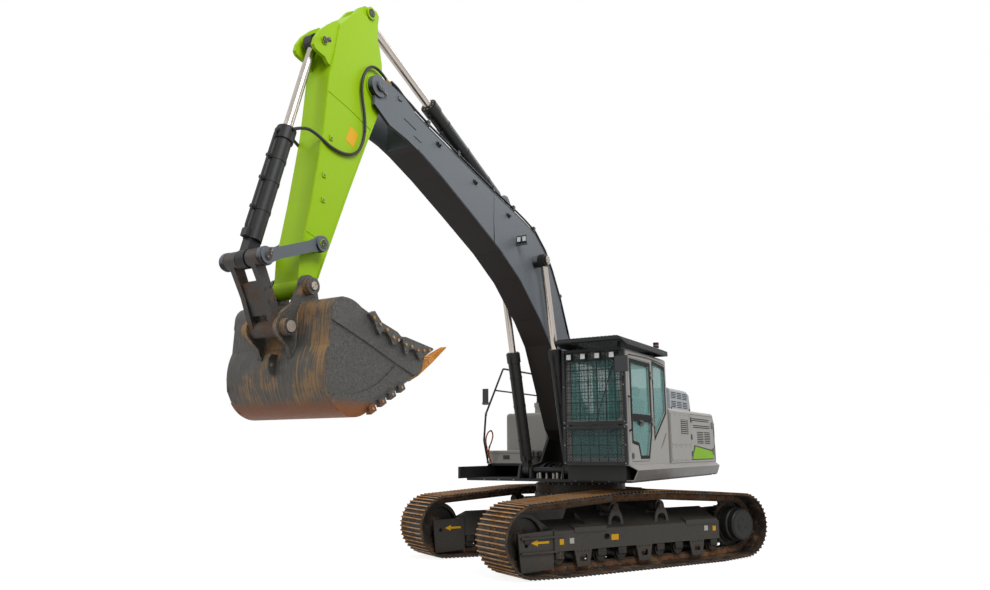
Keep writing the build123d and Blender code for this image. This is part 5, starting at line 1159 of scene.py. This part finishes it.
plates = bmesh.new()
bolts = bmesh.new()
clips = bmesh.new()
for hand in (1, -1):
    for x, z in ((4579, 5587), (3695, 5349), (2781, 5117)):
        way = Vector((0.97, 0, 0.25))
        block(clips, at(x, hand * 233, z), way, Vector((0, hand, 0)), (92, 46, 16), bevel=4)
        for step in (-24, 24):
            rod(clips, at(x + step, hand * 240, z + step * 0.25),
                at(x + step, hand * 262, z + step * 0.25), 15, sides=14, bevel=2)
    slab(plates, (5352, 5424), sorted((hand * 225, hand * 240)), (5862, 5906), bevel=3)
    pin_cap(plates, bolts, "boom_tip", hand * 280, 46, thick=5)
    keeper(plates, bolts, "boom_tip", hand * 251, 205, 150)
    pin_cap(plates, bolts, "crowd_foot", hand * 130, 38, thick=5)
mesh_piece("boom_fittings", plates, charcoal_paint, "boom")
mesh_piece("boom_clips", clips, black_paint, "boom")
mesh_piece("boom_bolts", bolts, bolt_steel, "boom")

# Welds: the splice of the side plates, the seams along both edges and round the foot
bm = bmesh.new()
for hand in (1, -1):
    y = hand * 226
    tube(bm, [at(3177, y, 4612), at(3190, y, 4980), at(3160, y, 5346)], 5, sides=6)
    tube(bm, [at(1560, y, 3420), at(1330, y, 3700), at(1080, y, 4080)], 5, sides=6)
    lower = [(836, 2055), (1493, 3346), (1819, 3696), (2443, 4209), (3025, 4537), (3821, 4888),
             (4534, 5189), (5011, 5363)]
    tube(bm, outside(lower, 13, y), 5, sides=6)
    tube(bm, outside(BOOM_BACK, -13, y), 5, sides=6)
    way = Vector((math.cos(math.radians(14)), 0, math.sin(math.radians(14))))
    for x_mid, z_mid, long in ((5180, 5640, 250), (5020, 5500, 150)):
        middle = at(x_mid, y, z_mid)
        tube(bm, [middle - way * long * MM / 2, middle + way * long * MM / 2], 6, sides=6)
mesh_piece("boom_welds", bm, charcoal_paint, "boom", smooth=True)

# Lenses of the two work lamps
BOOM_LAMPS = (285, 375)
bm = bmesh.new()
for y in BOOM_LAMPS:
    slab(bm, (2565, 2568), (y - 32, y + 32), (4756, 4834), bevel=1)
mesh_piece("boom_lamp_lenses", bm, lens, "boom")
bm = bmesh.new()
for y in BOOM_LAMPS:
    for low, high, z_low, z_high in ((-38, 38, 4834, 4844), (-38, 38, 4746, 4756),
                                     (-38, -32, 4756, 4834), (32, 38, 4756, 4834)):
        slab(bm, (2565, 2573), (y + low, y + high), (z_low, z_high))
    for fin in range(4):
        slab(bm, (2493, 2505), (y - 34, y + 34), (4762 + 20 * fin, 4768 + 20 * fin))
mesh_piece("boom_lamp_bezels", bm, black_paint, "boom")

# ------------------------------------------------ arm
# A welded box of plate in lime paint, held in the boom's fork by a pin. Hoses loop over
# that pin to the bucket cylinder.


def blended(name, bm, material):
    """Piece of one material on no body, its place baked into its mesh: a hose over a pin."""
    mesh = bpy.data.meshes.new(name)
    bm.to_mesh(mesh)
    bm.free()
    piece = bpy.data.objects.new(name, mesh)
    scene.collection.objects.link(piece)
    mesh.materials.append(material)
    for face in mesh.polygons:
        face.use_smooth = True
    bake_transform(piece)


# Enamel on plate: bright lime with a little dust, more satin than gloss
lime_paint = paint("lime_paint", "97c00a", "8b8a45", roughness=0.42, dust=0.16, sheen=0.16)

# Cast link steel under old paint: brown-grey, a little rust
link_steel = worn_steel("link_steel", "33302d", "5a4334", "6e5a48", rust_at=0.57, mud_at=0.63,
                        metallic=0.2)

dress("arm", lime_paint)

plates = bmesh.new()
bolts = bmesh.new()
for hand in (1, -1):
    for x, z in ((6556, 4559), (6555, 4286), (6475, 5001)):
        slab(plates, (x - 26, x + 26), sorted((hand * 165, hand * 177)), (z - 26, z + 26), bevel=3)
        bolt(bolts, at(x, hand * 177, z), Vector((0, hand, 0)), 11, 9)
mesh_piece("arm_lugs", plates, lime_paint, "arm")
plates = bmesh.new()
for hand in (1, -1):
    pin_cap(plates, bolts, "crowd_eye", hand * 135, 52, thick=6)
    pin_cap(plates, bolts, "curl_eye", hand * 172, 38, thick=6)
    pin_cap(plates, bolts, "guide", hand * 298, 40, count=2, thick=5)
    keeper(plates, bolts, "curl_eye", hand * 156, 150, 112)
mesh_piece("arm_pin_plates", plates, link_steel, "arm")
mesh_piece("arm_bolts", bolts, bolt_steel, "arm")
bm = bmesh.new()
for hand in (1, -1):
    y = hand * 166
    rear = [(5672, 5700), (5855, 5243), (6178, 4463), (6490, 3670), (6578, 3442)]
    fore = [(6843, 3633), (6812, 3794), (6727, 4236), (6653, 4693), (6599, 5046), (6545, 5699),
            (6469, 6029)]
    tube(bm, [at(x + 14, y, z + 4) for x, z in rear], 4.5, sides=6)
    tube(bm, [at(x - 14, y, z) for x, z in fore], 4.5, sides=6)
    tube(bm, [at(5840, y, 5330), at(6200, y, 5440), at(6560, y, 5520)], 4.5, sides=6)
    tube(bm, [at(6470, y, 3780), at(6620, y, 3860), at(6770, y, 3900)], 4.5, sides=6)
mesh_piece("arm_welds", bm, lime_paint, "arm", smooth=True)
bm = bmesh.new()
slant = Vector((0.39, 0, -0.92))
block(bm, at(6147, 166, 5132), slant, Vector((0, 1, 0)), (200, 140, 2))
mesh_piece("arm_plate", bm, yellow_film, "arm")

# Hoses from the boom over the arm's pin and on to the bucket cylinder, both sides
loops = {"boom_arm": bmesh.new(), "arm_rod": bmesh.new(), "rod_barrel": bmesh.new()}
ends = bmesh.new()
for hand in (1, -1):
    line = route([at(x, hand * y, z) for x, y, z in (
        (5636, 204, 6040), (5760, 204, 6110), (5930, 202, 6080), (6040, 200, 5900),
        (6052, 200, 5690), (5985, 200, 5456), (5965, 200, 5224), (6047, 198, 4985),
        (6225, 190, 4880), (6485, 185, 4880), (6685, 165, 4972), (6840, 140, 4998),
        (6965, 112, 4930))])
    first = min(range(len(line)), key=lambda n: (line[n] - at(5965, hand * 200, 5224)).length)
    second = min(range(len(line)), key=lambda n: (line[n] - at(6485, hand * 185, 4880)).length)
    tube(loops["boom_arm"], line[:first + 1], 17, sides=12)
    tube(loops["arm_rod"], line[first:second + 1], 17, sides=12)
    tube(loops["rod_barrel"], line[second:], 17, sides=12)
    fitting(ends, line[0], line[0] - line[4], 14)
blended("loop_hose_upper", loops["boom_arm"], rubber)
blended("loop_hose_middle", loops["arm_rod"], rubber)
blended("loop_hose_lower", loops["rod_barrel"], rubber)
mesh_piece("loop_hose_ends", ends, brass_metal, "boom")

# ------------------------------------------------ cylinders
# Four hydraulic cylinders: black painted tubes with bolted glands, and ground rods plated
# with hard chrome. An oil pipe is banded to the side of each.


def collar(bm, start, end, outer, inner):
    """Ring between two points on an axis, open in the middle; radii in millimetres."""
    way = (end - start).normalized()
    side_way = way.orthogonal().normalized()
    sides = 36
    loops = []
    for place, radius in ((start, inner), (start, outer), (end, outer), (end, inner)):
        loops.append([bm.verts.new(place + Matrix.Rotation(2 * math.pi * number / sides, 3, way)
                                   @ side_way * radius * MM) for number in range(sides)])
    faces = []
    for near, far in zip(loops, loops[1:] + loops[:1]):
        for number in range(sides):
            after = (number + 1) % sides
            faces.append(bm.faces.new((near[number], near[after], far[after], far[number])))
    bmesh.ops.recalc_face_normals(bm, faces=faces)


# Hard chrome on a ground rod: bright, with an oil film in patches of about 110 mm
chrome, tree, shader, where = surface("chrome", "b3aba3", 0.2, metallic=1.0)
grease = add(tree, "ShaderNodeTexNoise", {"Vector": where, "Scale": 9.0, "Detail": 5.0})
film = add(tree, "ShaderNodeMapRange", {"Value": grease.outputs["Fac"], "From Min": 0.4,
                                       "From Max": 0.7, "To Min": 0.12, "To Max": 0.38})
tree.links.new(film.outputs["Result"], shader.inputs["Roughness"])


def on_cylinder(foot, eye, y, along, out=0.0):
    """Place beside a cylinder: distance from its foot, and out towards the front."""
    start, end = Vector(PINS[foot]), Vector(PINS[eye])
    run = (end - start).normalized()
    spot = start + run * along + Vector((run.y, -run.x)) * out
    return at(spot.x, y, spot.y)


for node, finish in (("lift_barrel", black_paint), ("crowd_barrel", black_paint),
                     ("curl_barrel", black_paint), ("lift_rod", chrome), ("crowd_rod", chrome),
                     ("curl_rod", chrome)):
    dress(node, finish)

CYLINDERS = (
    # name, foot, eye, y, barrel radius, rod radius, closed end, gland, body of barrel, of rod
    ("lift_left", "lift_foot", "lift_eye", 371, 95, 53, 165, 1881, "boom_cylinder_barrels",
     "boom_cylinder_rods"),
    ("lift_right", "lift_foot", "lift_eye", -371, 95, 53, 165, 1881, "boom_cylinder_barrels",
     "boom_cylinder_rods"),
    ("crowd", "crowd_foot", "crowd_eye", 0, 100, 58, 165, 2040, "arm_cylinder_barrel",
     "arm_cylinder_rod"),
    ("curl", "curl_foot", "curl_eye", 0, 88, 50, 195, 1521, "bucket_cylinder_barrel",
     "bucket_cylinder_rod"),
)
for name, foot, eye, y, radius, rod_radius, start, gland, barrel_body, rod_body in CYLINDERS:
    axis = (on_cylinder(foot, eye, y, 100) - on_cylinder(foot, eye, y, 0)).normalized()
    front_way = (on_cylinder(foot, eye, y, 0, 100) - on_cylinder(foot, eye, y, 0, 0)).normalized()
    bolts = bmesh.new()
    bolt_ring(bolts, on_cylinder(foot, eye, y, gland), axis, (radius + rod_radius) / 2 + 4, 10,
              10, 9)
    pipes = bmesh.new()
    # oil pipe from the gland's port down to the foot, with its clamps
    reach = radius + 34
    line = [on_cylinder(foot, eye, y, gland - 85, radius + 8),
            on_cylinder(foot, eye, y, gland - 85, reach - 6),
            on_cylinder(foot, eye, y, gland - 130, reach),
            on_cylinder(foot, eye, y, start + 120, reach),
            on_cylinder(foot, eye, y, start + 60, reach - 14)]
    tube(pipes, line, 13)
    rod(pipes, on_cylinder(foot, eye, y, gland - 85, radius + 8),
        on_cylinder(foot, eye, y, gland - 85, reach), 26, sides=20, bevel=2)
    block(pipes, on_cylinder(foot, eye, y, start + 45, radius + 14), axis, front_way,
          (90, 78, 44), bevel=4)
    bands = bmesh.new()
    for along in (start + 330, (start + gland) / 2, gland - 400):
        middle = on_cylinder(foot, eye, y, along)
        collar(bands, middle - axis * 0.017, middle + axis * 0.017, radius + 4.5, radius - 1)
        block(bands, on_cylinder(foot, eye, y, along, radius + 26), axis, front_way, (34, 46, 46),
              bevel=3)
    # seal and wiper where the rod leaves the gland
    collar(bands, on_cylinder(foot, eye, y, gland - 1), on_cylinder(foot, eye, y, gland + 3),
           rod_radius + 13, rod_radius + 1)
    # painted eye of the rod
    eyes = bmesh.new()
    x, z = PINS[eye]
    half = 60 if name == "crowd" else 55
    collar(eyes, at(x, y - half, z), at(x, y + half, z), 101, 99)
    for end in (-half, half):
        collar(eyes, at(x, y + end - 0.5, z), at(x, y + end + 0.5, z), 101, 46)
    if y:
        near, far = y + math.copysign(half + 1, y), y + math.copysign(half + 26, y)
        collar(eyes, at(x, near, z), at(x, far, z), 72, 69)
    mesh_piece(f"{name}_rod_eye", eyes, black_paint, rod_body)
    mesh_piece(f"{name}_gland_bolts", bolts, bolt_steel, barrel_body)
    mesh_piece(f"{name}_pipe", pipes, black_paint, barrel_body)
    mesh_piece(f"{name}_bands", bands, black_paint, barrel_body)

plates = bmesh.new()
bolts = bmesh.new()
for hand in (1, -1):
    pin_cap(plates, bolts, "lift_eye", hand * 454, 56, count=4)
mesh_piece("lift_pin_caps", plates, cap_steel, "boom_cylinder_rods")
mesh_piece("lift_pin_bolts", bolts, bolt_steel, "boom_cylinder_rods")
plates = bmesh.new()
bolts = bmesh.new()
for hand in (1, -1):
    pin_cap(plates, bolts, "lift_foot", hand * 500, 38)
    pin_cap(plates, bolts, "boom_foot", hand * 342, 52, count=4)
mesh_piece("foot_pin_caps", plates, black_paint, "house")
mesh_piece("foot_pin_bolts", bolts, bolt_steel, "house")

# ------------------------------------------------ bucket linkage
# Forged guide links on the arm and a cast H-shaped link down to the bucket. They turn on
# hardened pins, held by caps and plates with two bolts each.

for node, finish in (("guide_links", charcoal_paint), ("bucket_link", link_steel)):
    dress(node, finish)

plates = bmesh.new()
bolts = bmesh.new()
for hand in (1, -1):
    pin_cap(plates, bolts, "curl_foot", hand * 298, 40, count=2, thick=5)
    keeper(plates, bolts, "curl_foot", hand * 290.5, 118, 74)
mesh_piece("guide_pin_plates", plates, link_steel, "guide_links")
mesh_piece("guide_pin_bolts", bolts, bolt_steel, "guide_links")
bm = bmesh.new()
for hand in (1, -1):
    for along, out in ((300, 30), (300, -40), (420, 30), (420, -44)):
        start, end = Vector(PINS["curl_foot"]), Vector(PINS["link"])
        run = (end - start).normalized()
        spot = start + run * along + Vector((run.y, -run.x)) * out
        rod(bm, at(spot.x, hand * 172, spot.y), at(spot.x, hand * 178, spot.y), 13, sides=14)
mesh_piece("link_studs", bm, link_steel, "bucket_link")

# ------------------------------------------------ bucket
# Rolled wear plate with thick cheeks, cutters bolted to their edges and cast points on the
# lip. Digging has scoured the paint off in lines and left soil in them.

# Cast points in orange primer, rubbed and soiled
tooth_steel = worn_steel("tooth_steel", "cf8820", "b56c1c", "b98650", rust_at=0.48, mud_at=0.62,
                         metallic=0.1)

# Wear plate: scoured round the back in lines about 15 mm apart, with scratches of 3 mm and
# soil dried on in the same lines; the cheeks are rubbed all ways, in marks of about 20 mm
bucket_steel, tree, shader, where = surface("bucket_steel", "4e4e4c", 0.5, metallic=0.2,
                                            sheen=0.35)
across = add(tree, "ShaderNodeMapping", {"Vector": where, "Scale": (0.5, 20.0, 0.5)})
lines = add(tree, "ShaderNodeTexNoise", {"Vector": across.outputs["Vector"], "Scale": 3.4,
                                        "Detail": 8.0, "Roughness": 0.75})
patches = add(tree, "ShaderNodeTexNoise", {"Vector": where, "Scale": 1.9, "Detail": 7.0,
                                          "Roughness": 0.66})
scratches = add(tree, "ShaderNodeTexNoise", {"Vector": across.outputs["Vector"], "Scale": 16.0,
                                            "Detail": 5.0, "Roughness": 0.75})
spot = add(tree, "ShaderNodeSeparateXYZ", {"Vector": where})
behind = add(tree, "ShaderNodeMapRange", {"Value": spot.outputs["X"], "From Min": 3.9,
                                         "From Max": 4.8, "To Min": -0.12, "To Max": 0.05})
soil = add(tree, "ShaderNodeMath", {0: lines.outputs["Fac"], 1: patches.outputs["Fac"]},
           operation="ADD")
soil = add(tree, "ShaderNodeMath", {0: soil.outputs[0], 1: behind.outputs["Result"]},
           operation="ADD")
turned = add(tree, "ShaderNodeSeparateXYZ",
             {"Vector": add(tree, "ShaderNodeTexCoord").outputs["Normal"]})
aside = add(tree, "ShaderNodeMath", {0: turned.outputs["Y"]}, operation="ABSOLUTE")
cheek = add(tree, "ShaderNodeMapRange", {"Value": aside.outputs[0], "From Min": 0.6,
                                        "From Max": 0.95, "To Max": -0.13})
soil = add(tree, "ShaderNodeMath", {0: soil.outputs[0], 1: cheek.outputs["Result"]},
           operation="ADD")
soil = add(tree, "ShaderNodeMapRange", {"Value": soil.outputs[0], "From Min": 1.1,
                                       "From Max": 1.16, "To Max": 0.85})
heel = add(tree, "ShaderNodeMapRange", {"Value": spot.outputs["Z"], "From Min": 2.22,
                                       "From Max": 2.13, "To Max": 0.9})
scored = add(tree, "ShaderNodeMapRange", {"Value": scratches.outputs["Fac"], "From Min": 0.36,
                                         "From Max": 0.7})
fine = add(tree, "ShaderNodeTexNoise", {"Vector": where, "Scale": 48.0, "Detail": 8.0,
                                        "Roughness": 0.75, "Distortion": 1.5})
rubbed = add(tree, "ShaderNodeMapRange", {"Value": fine.outputs["Fac"], "From Min": 0.42,
                                         "From Max": 0.74, "To Min": 0.12, "To Max": 0.9})
scored = add(tree, "ShaderNodeMix", {"Factor": aside.outputs[0], "A": scored.outputs["Result"],
                                     "B": rubbed.outputs["Result"]}, data_type="FLOAT")
steel = add(tree, "ShaderNodeMix", {"Factor": scored.outputs["Result"], "A": linear("242526"),
                                    "B": linear("74716b")}, data_type="RGBA")
soiled = add(tree, "ShaderNodeMix", {"Factor": soil.outputs["Result"],
                                     "A": steel.outputs["Result"], "B": linear("94724a")},
             data_type="RGBA")
rusty = add(tree, "ShaderNodeMix", {"Factor": heel.outputs["Result"],
                                    "A": soiled.outputs["Result"], "B": linear("7c4516")},
            data_type="RGBA")
tree.links.new(rusty.outputs["Result"], shader.inputs["Base Color"])
relief = add(tree, "ShaderNodeMath", {0: scored.outputs["Result"], 1: soil.outputs["Result"]},
             operation="ADD")
bump = add(tree, "ShaderNodeBump", {"Height": relief.outputs[0], "Strength": 0.5,
                                   "Distance": 0.006})
tree.links.new(bump.outputs["Normal"], shader.inputs["Normal"])

# Dried soil: brown and fully matt
soil_crust = worn_steel("soil_crust", "6a5139", "7d6044", "8c7050", rust_at=0.5, mud_at=0.52,
                        roughness=0.95, metallic=0.0, depth=0.02)

for node, finish in (("bucket", bucket_steel), ("bucket_teeth", tooth_steel)):
    dress(node, finish)

LIP_FOOT = Vector((5470, 2565))
LIP_OUT = Vector((-0.8861, 0.4636))
LIP_UP = Vector((0.4636, 0.8861))


def lip(y, out, up):
    """Point near the bucket's lip: out towards the teeth and up across the plate."""
    spot = LIP_FOOT + LIP_OUT * out + LIP_UP * up
    return at(spot.x, y, spot.y)


plates = bmesh.new()
bolts = bmesh.new()
for hand in (1, -1):
    for pin, radius in (("bucket", 42), ("link", 56)):
        pin_cap(plates, bolts, pin, hand * 298, radius, count=2, thick=5)
mesh_piece("bucket_pin_plates", plates, cap_steel, "bucket")
# Bolts of the side cutters, and plugs in the heel blocks
for hand in (1, -1):
    way = Vector((0, hand, 0))
    for x, z in ((6330, 3030), (6230, 2975), (6120, 2935), (6010, 2870), (5930, 2850),
                 (5800, 2820), (5700, 2810), (5590, 2780), (5480, 2790), (5380, 2805)):
        bolt(bolts, at(x, hand * 700, z), way, 17, 14)
    for out in (-426, -597, -768, -939):
        rod(bolts, lip(hand * 700, out, 0), lip(hand * 706, out, 0), 15, sides=16)
mesh_piece("bucket_bolts", bolts, worn_edge, "bucket")
# Weld beads: cheek to back, ears to back, and round the wear plates
bm = bmesh.new()
back = [(5560, 2524), (6330, 2122), (6480, 2066), (6640, 2055), (6770, 2105), (6864, 2207),
        (6930, 2320), (6945, 2440), (6930, 2580), (6893, 2700), (6878, 3035), (6850, 3115)]
for hand in (1, -1):
    tube(bm, [at(x, hand * 654, z) for x, z in back], 8, sides=6)
    wear_band = [(6885, 2944), (6318, 2759), (5940, 2624), (5610, 2518)]
    tube(bm, [at(x, hand * 656, z) for x, z in wear_band], 8, sides=6)
    for y in (178, 222):
        tube(bm, [at(x, hand * y, z) for x, z in ((6952, 2600), (6908, 2690), (6893, 2800),
                                                  (6892, 3020), (6846, 3140), (6740, 3182),
                                                  (6640, 3182))], 9, sides=6)
mesh_piece("bucket_welds", bm, bucket_steel, "bucket", smooth=True)
# Pins that hold the points on their adapters
TEETH, TOOTH_SPREAD = 5, 555
bm = bmesh.new()
for tooth in range(TEETH):
    y = TOOTH_SPREAD * (2 * tooth / (TEETH - 1) - 1)
    for hand in (1, -1):
        rod(bm, lip(y + hand * 60, 250, 18), lip(y + hand * 66, 250, 18), 19, sides=16, bevel=2)
        rod(bm, lip(y + hand * 60, 60, 18), lip(y + hand * 64, 60, 18), 12, sides=12)
mesh_piece("tooth_pins", bm, worn_edge, "bucket")
# Soil left on the bucket's floor: a low uneven crust
bm = bmesh.new()
bmesh.ops.create_grid(bm, x_segments=46, y_segments=40, size=0.5)
for vert in bm.verts:
    a, b = vert.co.x * 2, vert.co.y * 2
    rise = (0.5 + 0.5 * math.sin(9 * a + 4 * b)) * (0.5 + 0.5 * math.sin(7 * b - 5 * a + 1.3))
    rise += 0.35 * math.sin(31 * a + 17 * b) * math.sin(23 * b + 11 * a)
    rim = max(0.0, 1 - abs(a) ** 6) * max(0.0, 1 - abs(b) ** 6)
    out = -870 + 780 * (a + 1) / 2
    vert.co = lip(610 * b, out, 33 + 22 * max(rise, 0.0) * rim - 3 * (1 - rim))
mesh_piece("bucket_soil", bm, soil_crust, "bucket", smooth=True)

# ------------------------------------------------ camera, floor and light
# A low view from the front corner, over a pale floor that keeps the shadow, under one large
# lamp with a fill and a back light.

camera = bpy.data.cameras.new("camera")
camera.sensor_width = 36
camera.lens = 27.906
camera.clip_end = 200
eye = bpy.data.objects.new("camera", camera)
scene.collection.objects.link(eye)
YAW, PITCH, ROLL = math.radians(-149.23), math.radians(11.501), math.radians(-0.249)
ahead = Vector((math.cos(PITCH) * math.cos(YAW), math.cos(PITCH) * math.sin(YAW), math.sin(PITCH)))
level_right = Vector((math.sin(YAW), -math.cos(YAW), 0))
level_up = level_right.cross(ahead)
right = math.cos(ROLL) * level_right + math.sin(ROLL) * level_up
up = -math.sin(ROLL) * level_right + math.cos(ROLL) * level_up
turn = Matrix((right, up, -ahead)).transposed().to_4x4()
eye.matrix_world = Matrix.Translation((12.189 + SLEW_X, 5.597, 1.719)) @ turn
scene.camera = eye

bm = bmesh.new()
bmesh.ops.create_circle(bm, cap_ends=True, segments=64, radius=60)
floor_mesh = bpy.data.meshes.new("floor")
bm.to_mesh(floor_mesh)
bm.free()
floor = bpy.data.objects.new("floor", floor_mesh)
scene.collection.objects.link(floor)
# Pale floor: it stays white to the eye however little light falls on it, and keeps the shadow
floor_paint, tree, shader, where = surface("floor_paint", "9b9a98", 0.9, sheen=0.1)
grain = add(tree, "ShaderNodeTexNoise", {"Vector": where, "Scale": 8.0, "Detail": 3.0})
rough = add(tree, "ShaderNodeMapRange", {"Value": grain.outputs["Fac"], "To Min": 0.85,
                                        "To Max": 0.95})
tree.links.new(rough.outputs["Result"], shader.inputs["Roughness"])
rays = add(tree, "ShaderNodeLightPath").outputs
seen = add(tree, "ShaderNodeMath", {0: rays["Is Camera Ray"], 1: rays["Is Glossy Ray"]},
           operation="MAXIMUM")
seen = add(tree, "ShaderNodeMath", {0: seen.outputs[0], 1: rays["Is Transmission Ray"]},
           operation="MAXIMUM")
glow = add(tree, "ShaderNodeMapRange", {"Value": seen.outputs[0], "To Max": 0.87})
shader.inputs["Emission Color"].default_value = (1.0, 1.0, 1.0, 1.0)
tree.links.new(glow.outputs["Result"], shader.inputs["Emission Strength"])
floor_mesh.materials.append(floor_paint)

# Dim sky for the light on the object; the camera, gloss and glass see plain white
world = bpy.data.worlds.new("studio")
world.use_nodes = True
tree = world.node_tree
rays = add(tree, "ShaderNodeLightPath").outputs
seen = add(tree, "ShaderNodeMath", {0: rays["Is Camera Ray"], 1: rays["Is Glossy Ray"]},
           operation="MAXIMUM")
seen = add(tree, "ShaderNodeMath", {0: seen.outputs[0], 1: rays["Is Transmission Ray"]},
           operation="MAXIMUM")
strength = add(tree, "ShaderNodeMapRange", {"Value": seen.outputs[0], "To Min": 0.43,
                                           "To Max": 1.0})
tree.nodes["Background"].inputs["Color"].default_value = (1.0, 1.0, 1.0, 1.0)
tree.links.new(strength.outputs["Result"], tree.nodes["Background"].inputs["Strength"])
scene.world = world
scene.view_settings.view_transform = "Standard"

LAMPS = (
    # name, place, power, size
    ("key_light", (7.0, 9.0, 13.0), 1350, 7.0),
    ("fill_light", (14.0, -5.0, 9.0), 480, 8.0),
    ("back_light", (-9.0, 4.0, 12.0), 600, 8.0),
)
for name, place, power, size in LAMPS:
    light = bpy.data.lights.new(name, "AREA")
    light.energy = power
    light.size = size
    lamp = bpy.data.objects.new(name, light)
    scene.collection.objects.link(lamp)
    lamp.location = place
    aim = Vector((0.0, 0.0, 2.5)) - Vector(place)
    lamp.rotation_euler = aim.to_track_quat("-Z", "Y").to_euler()
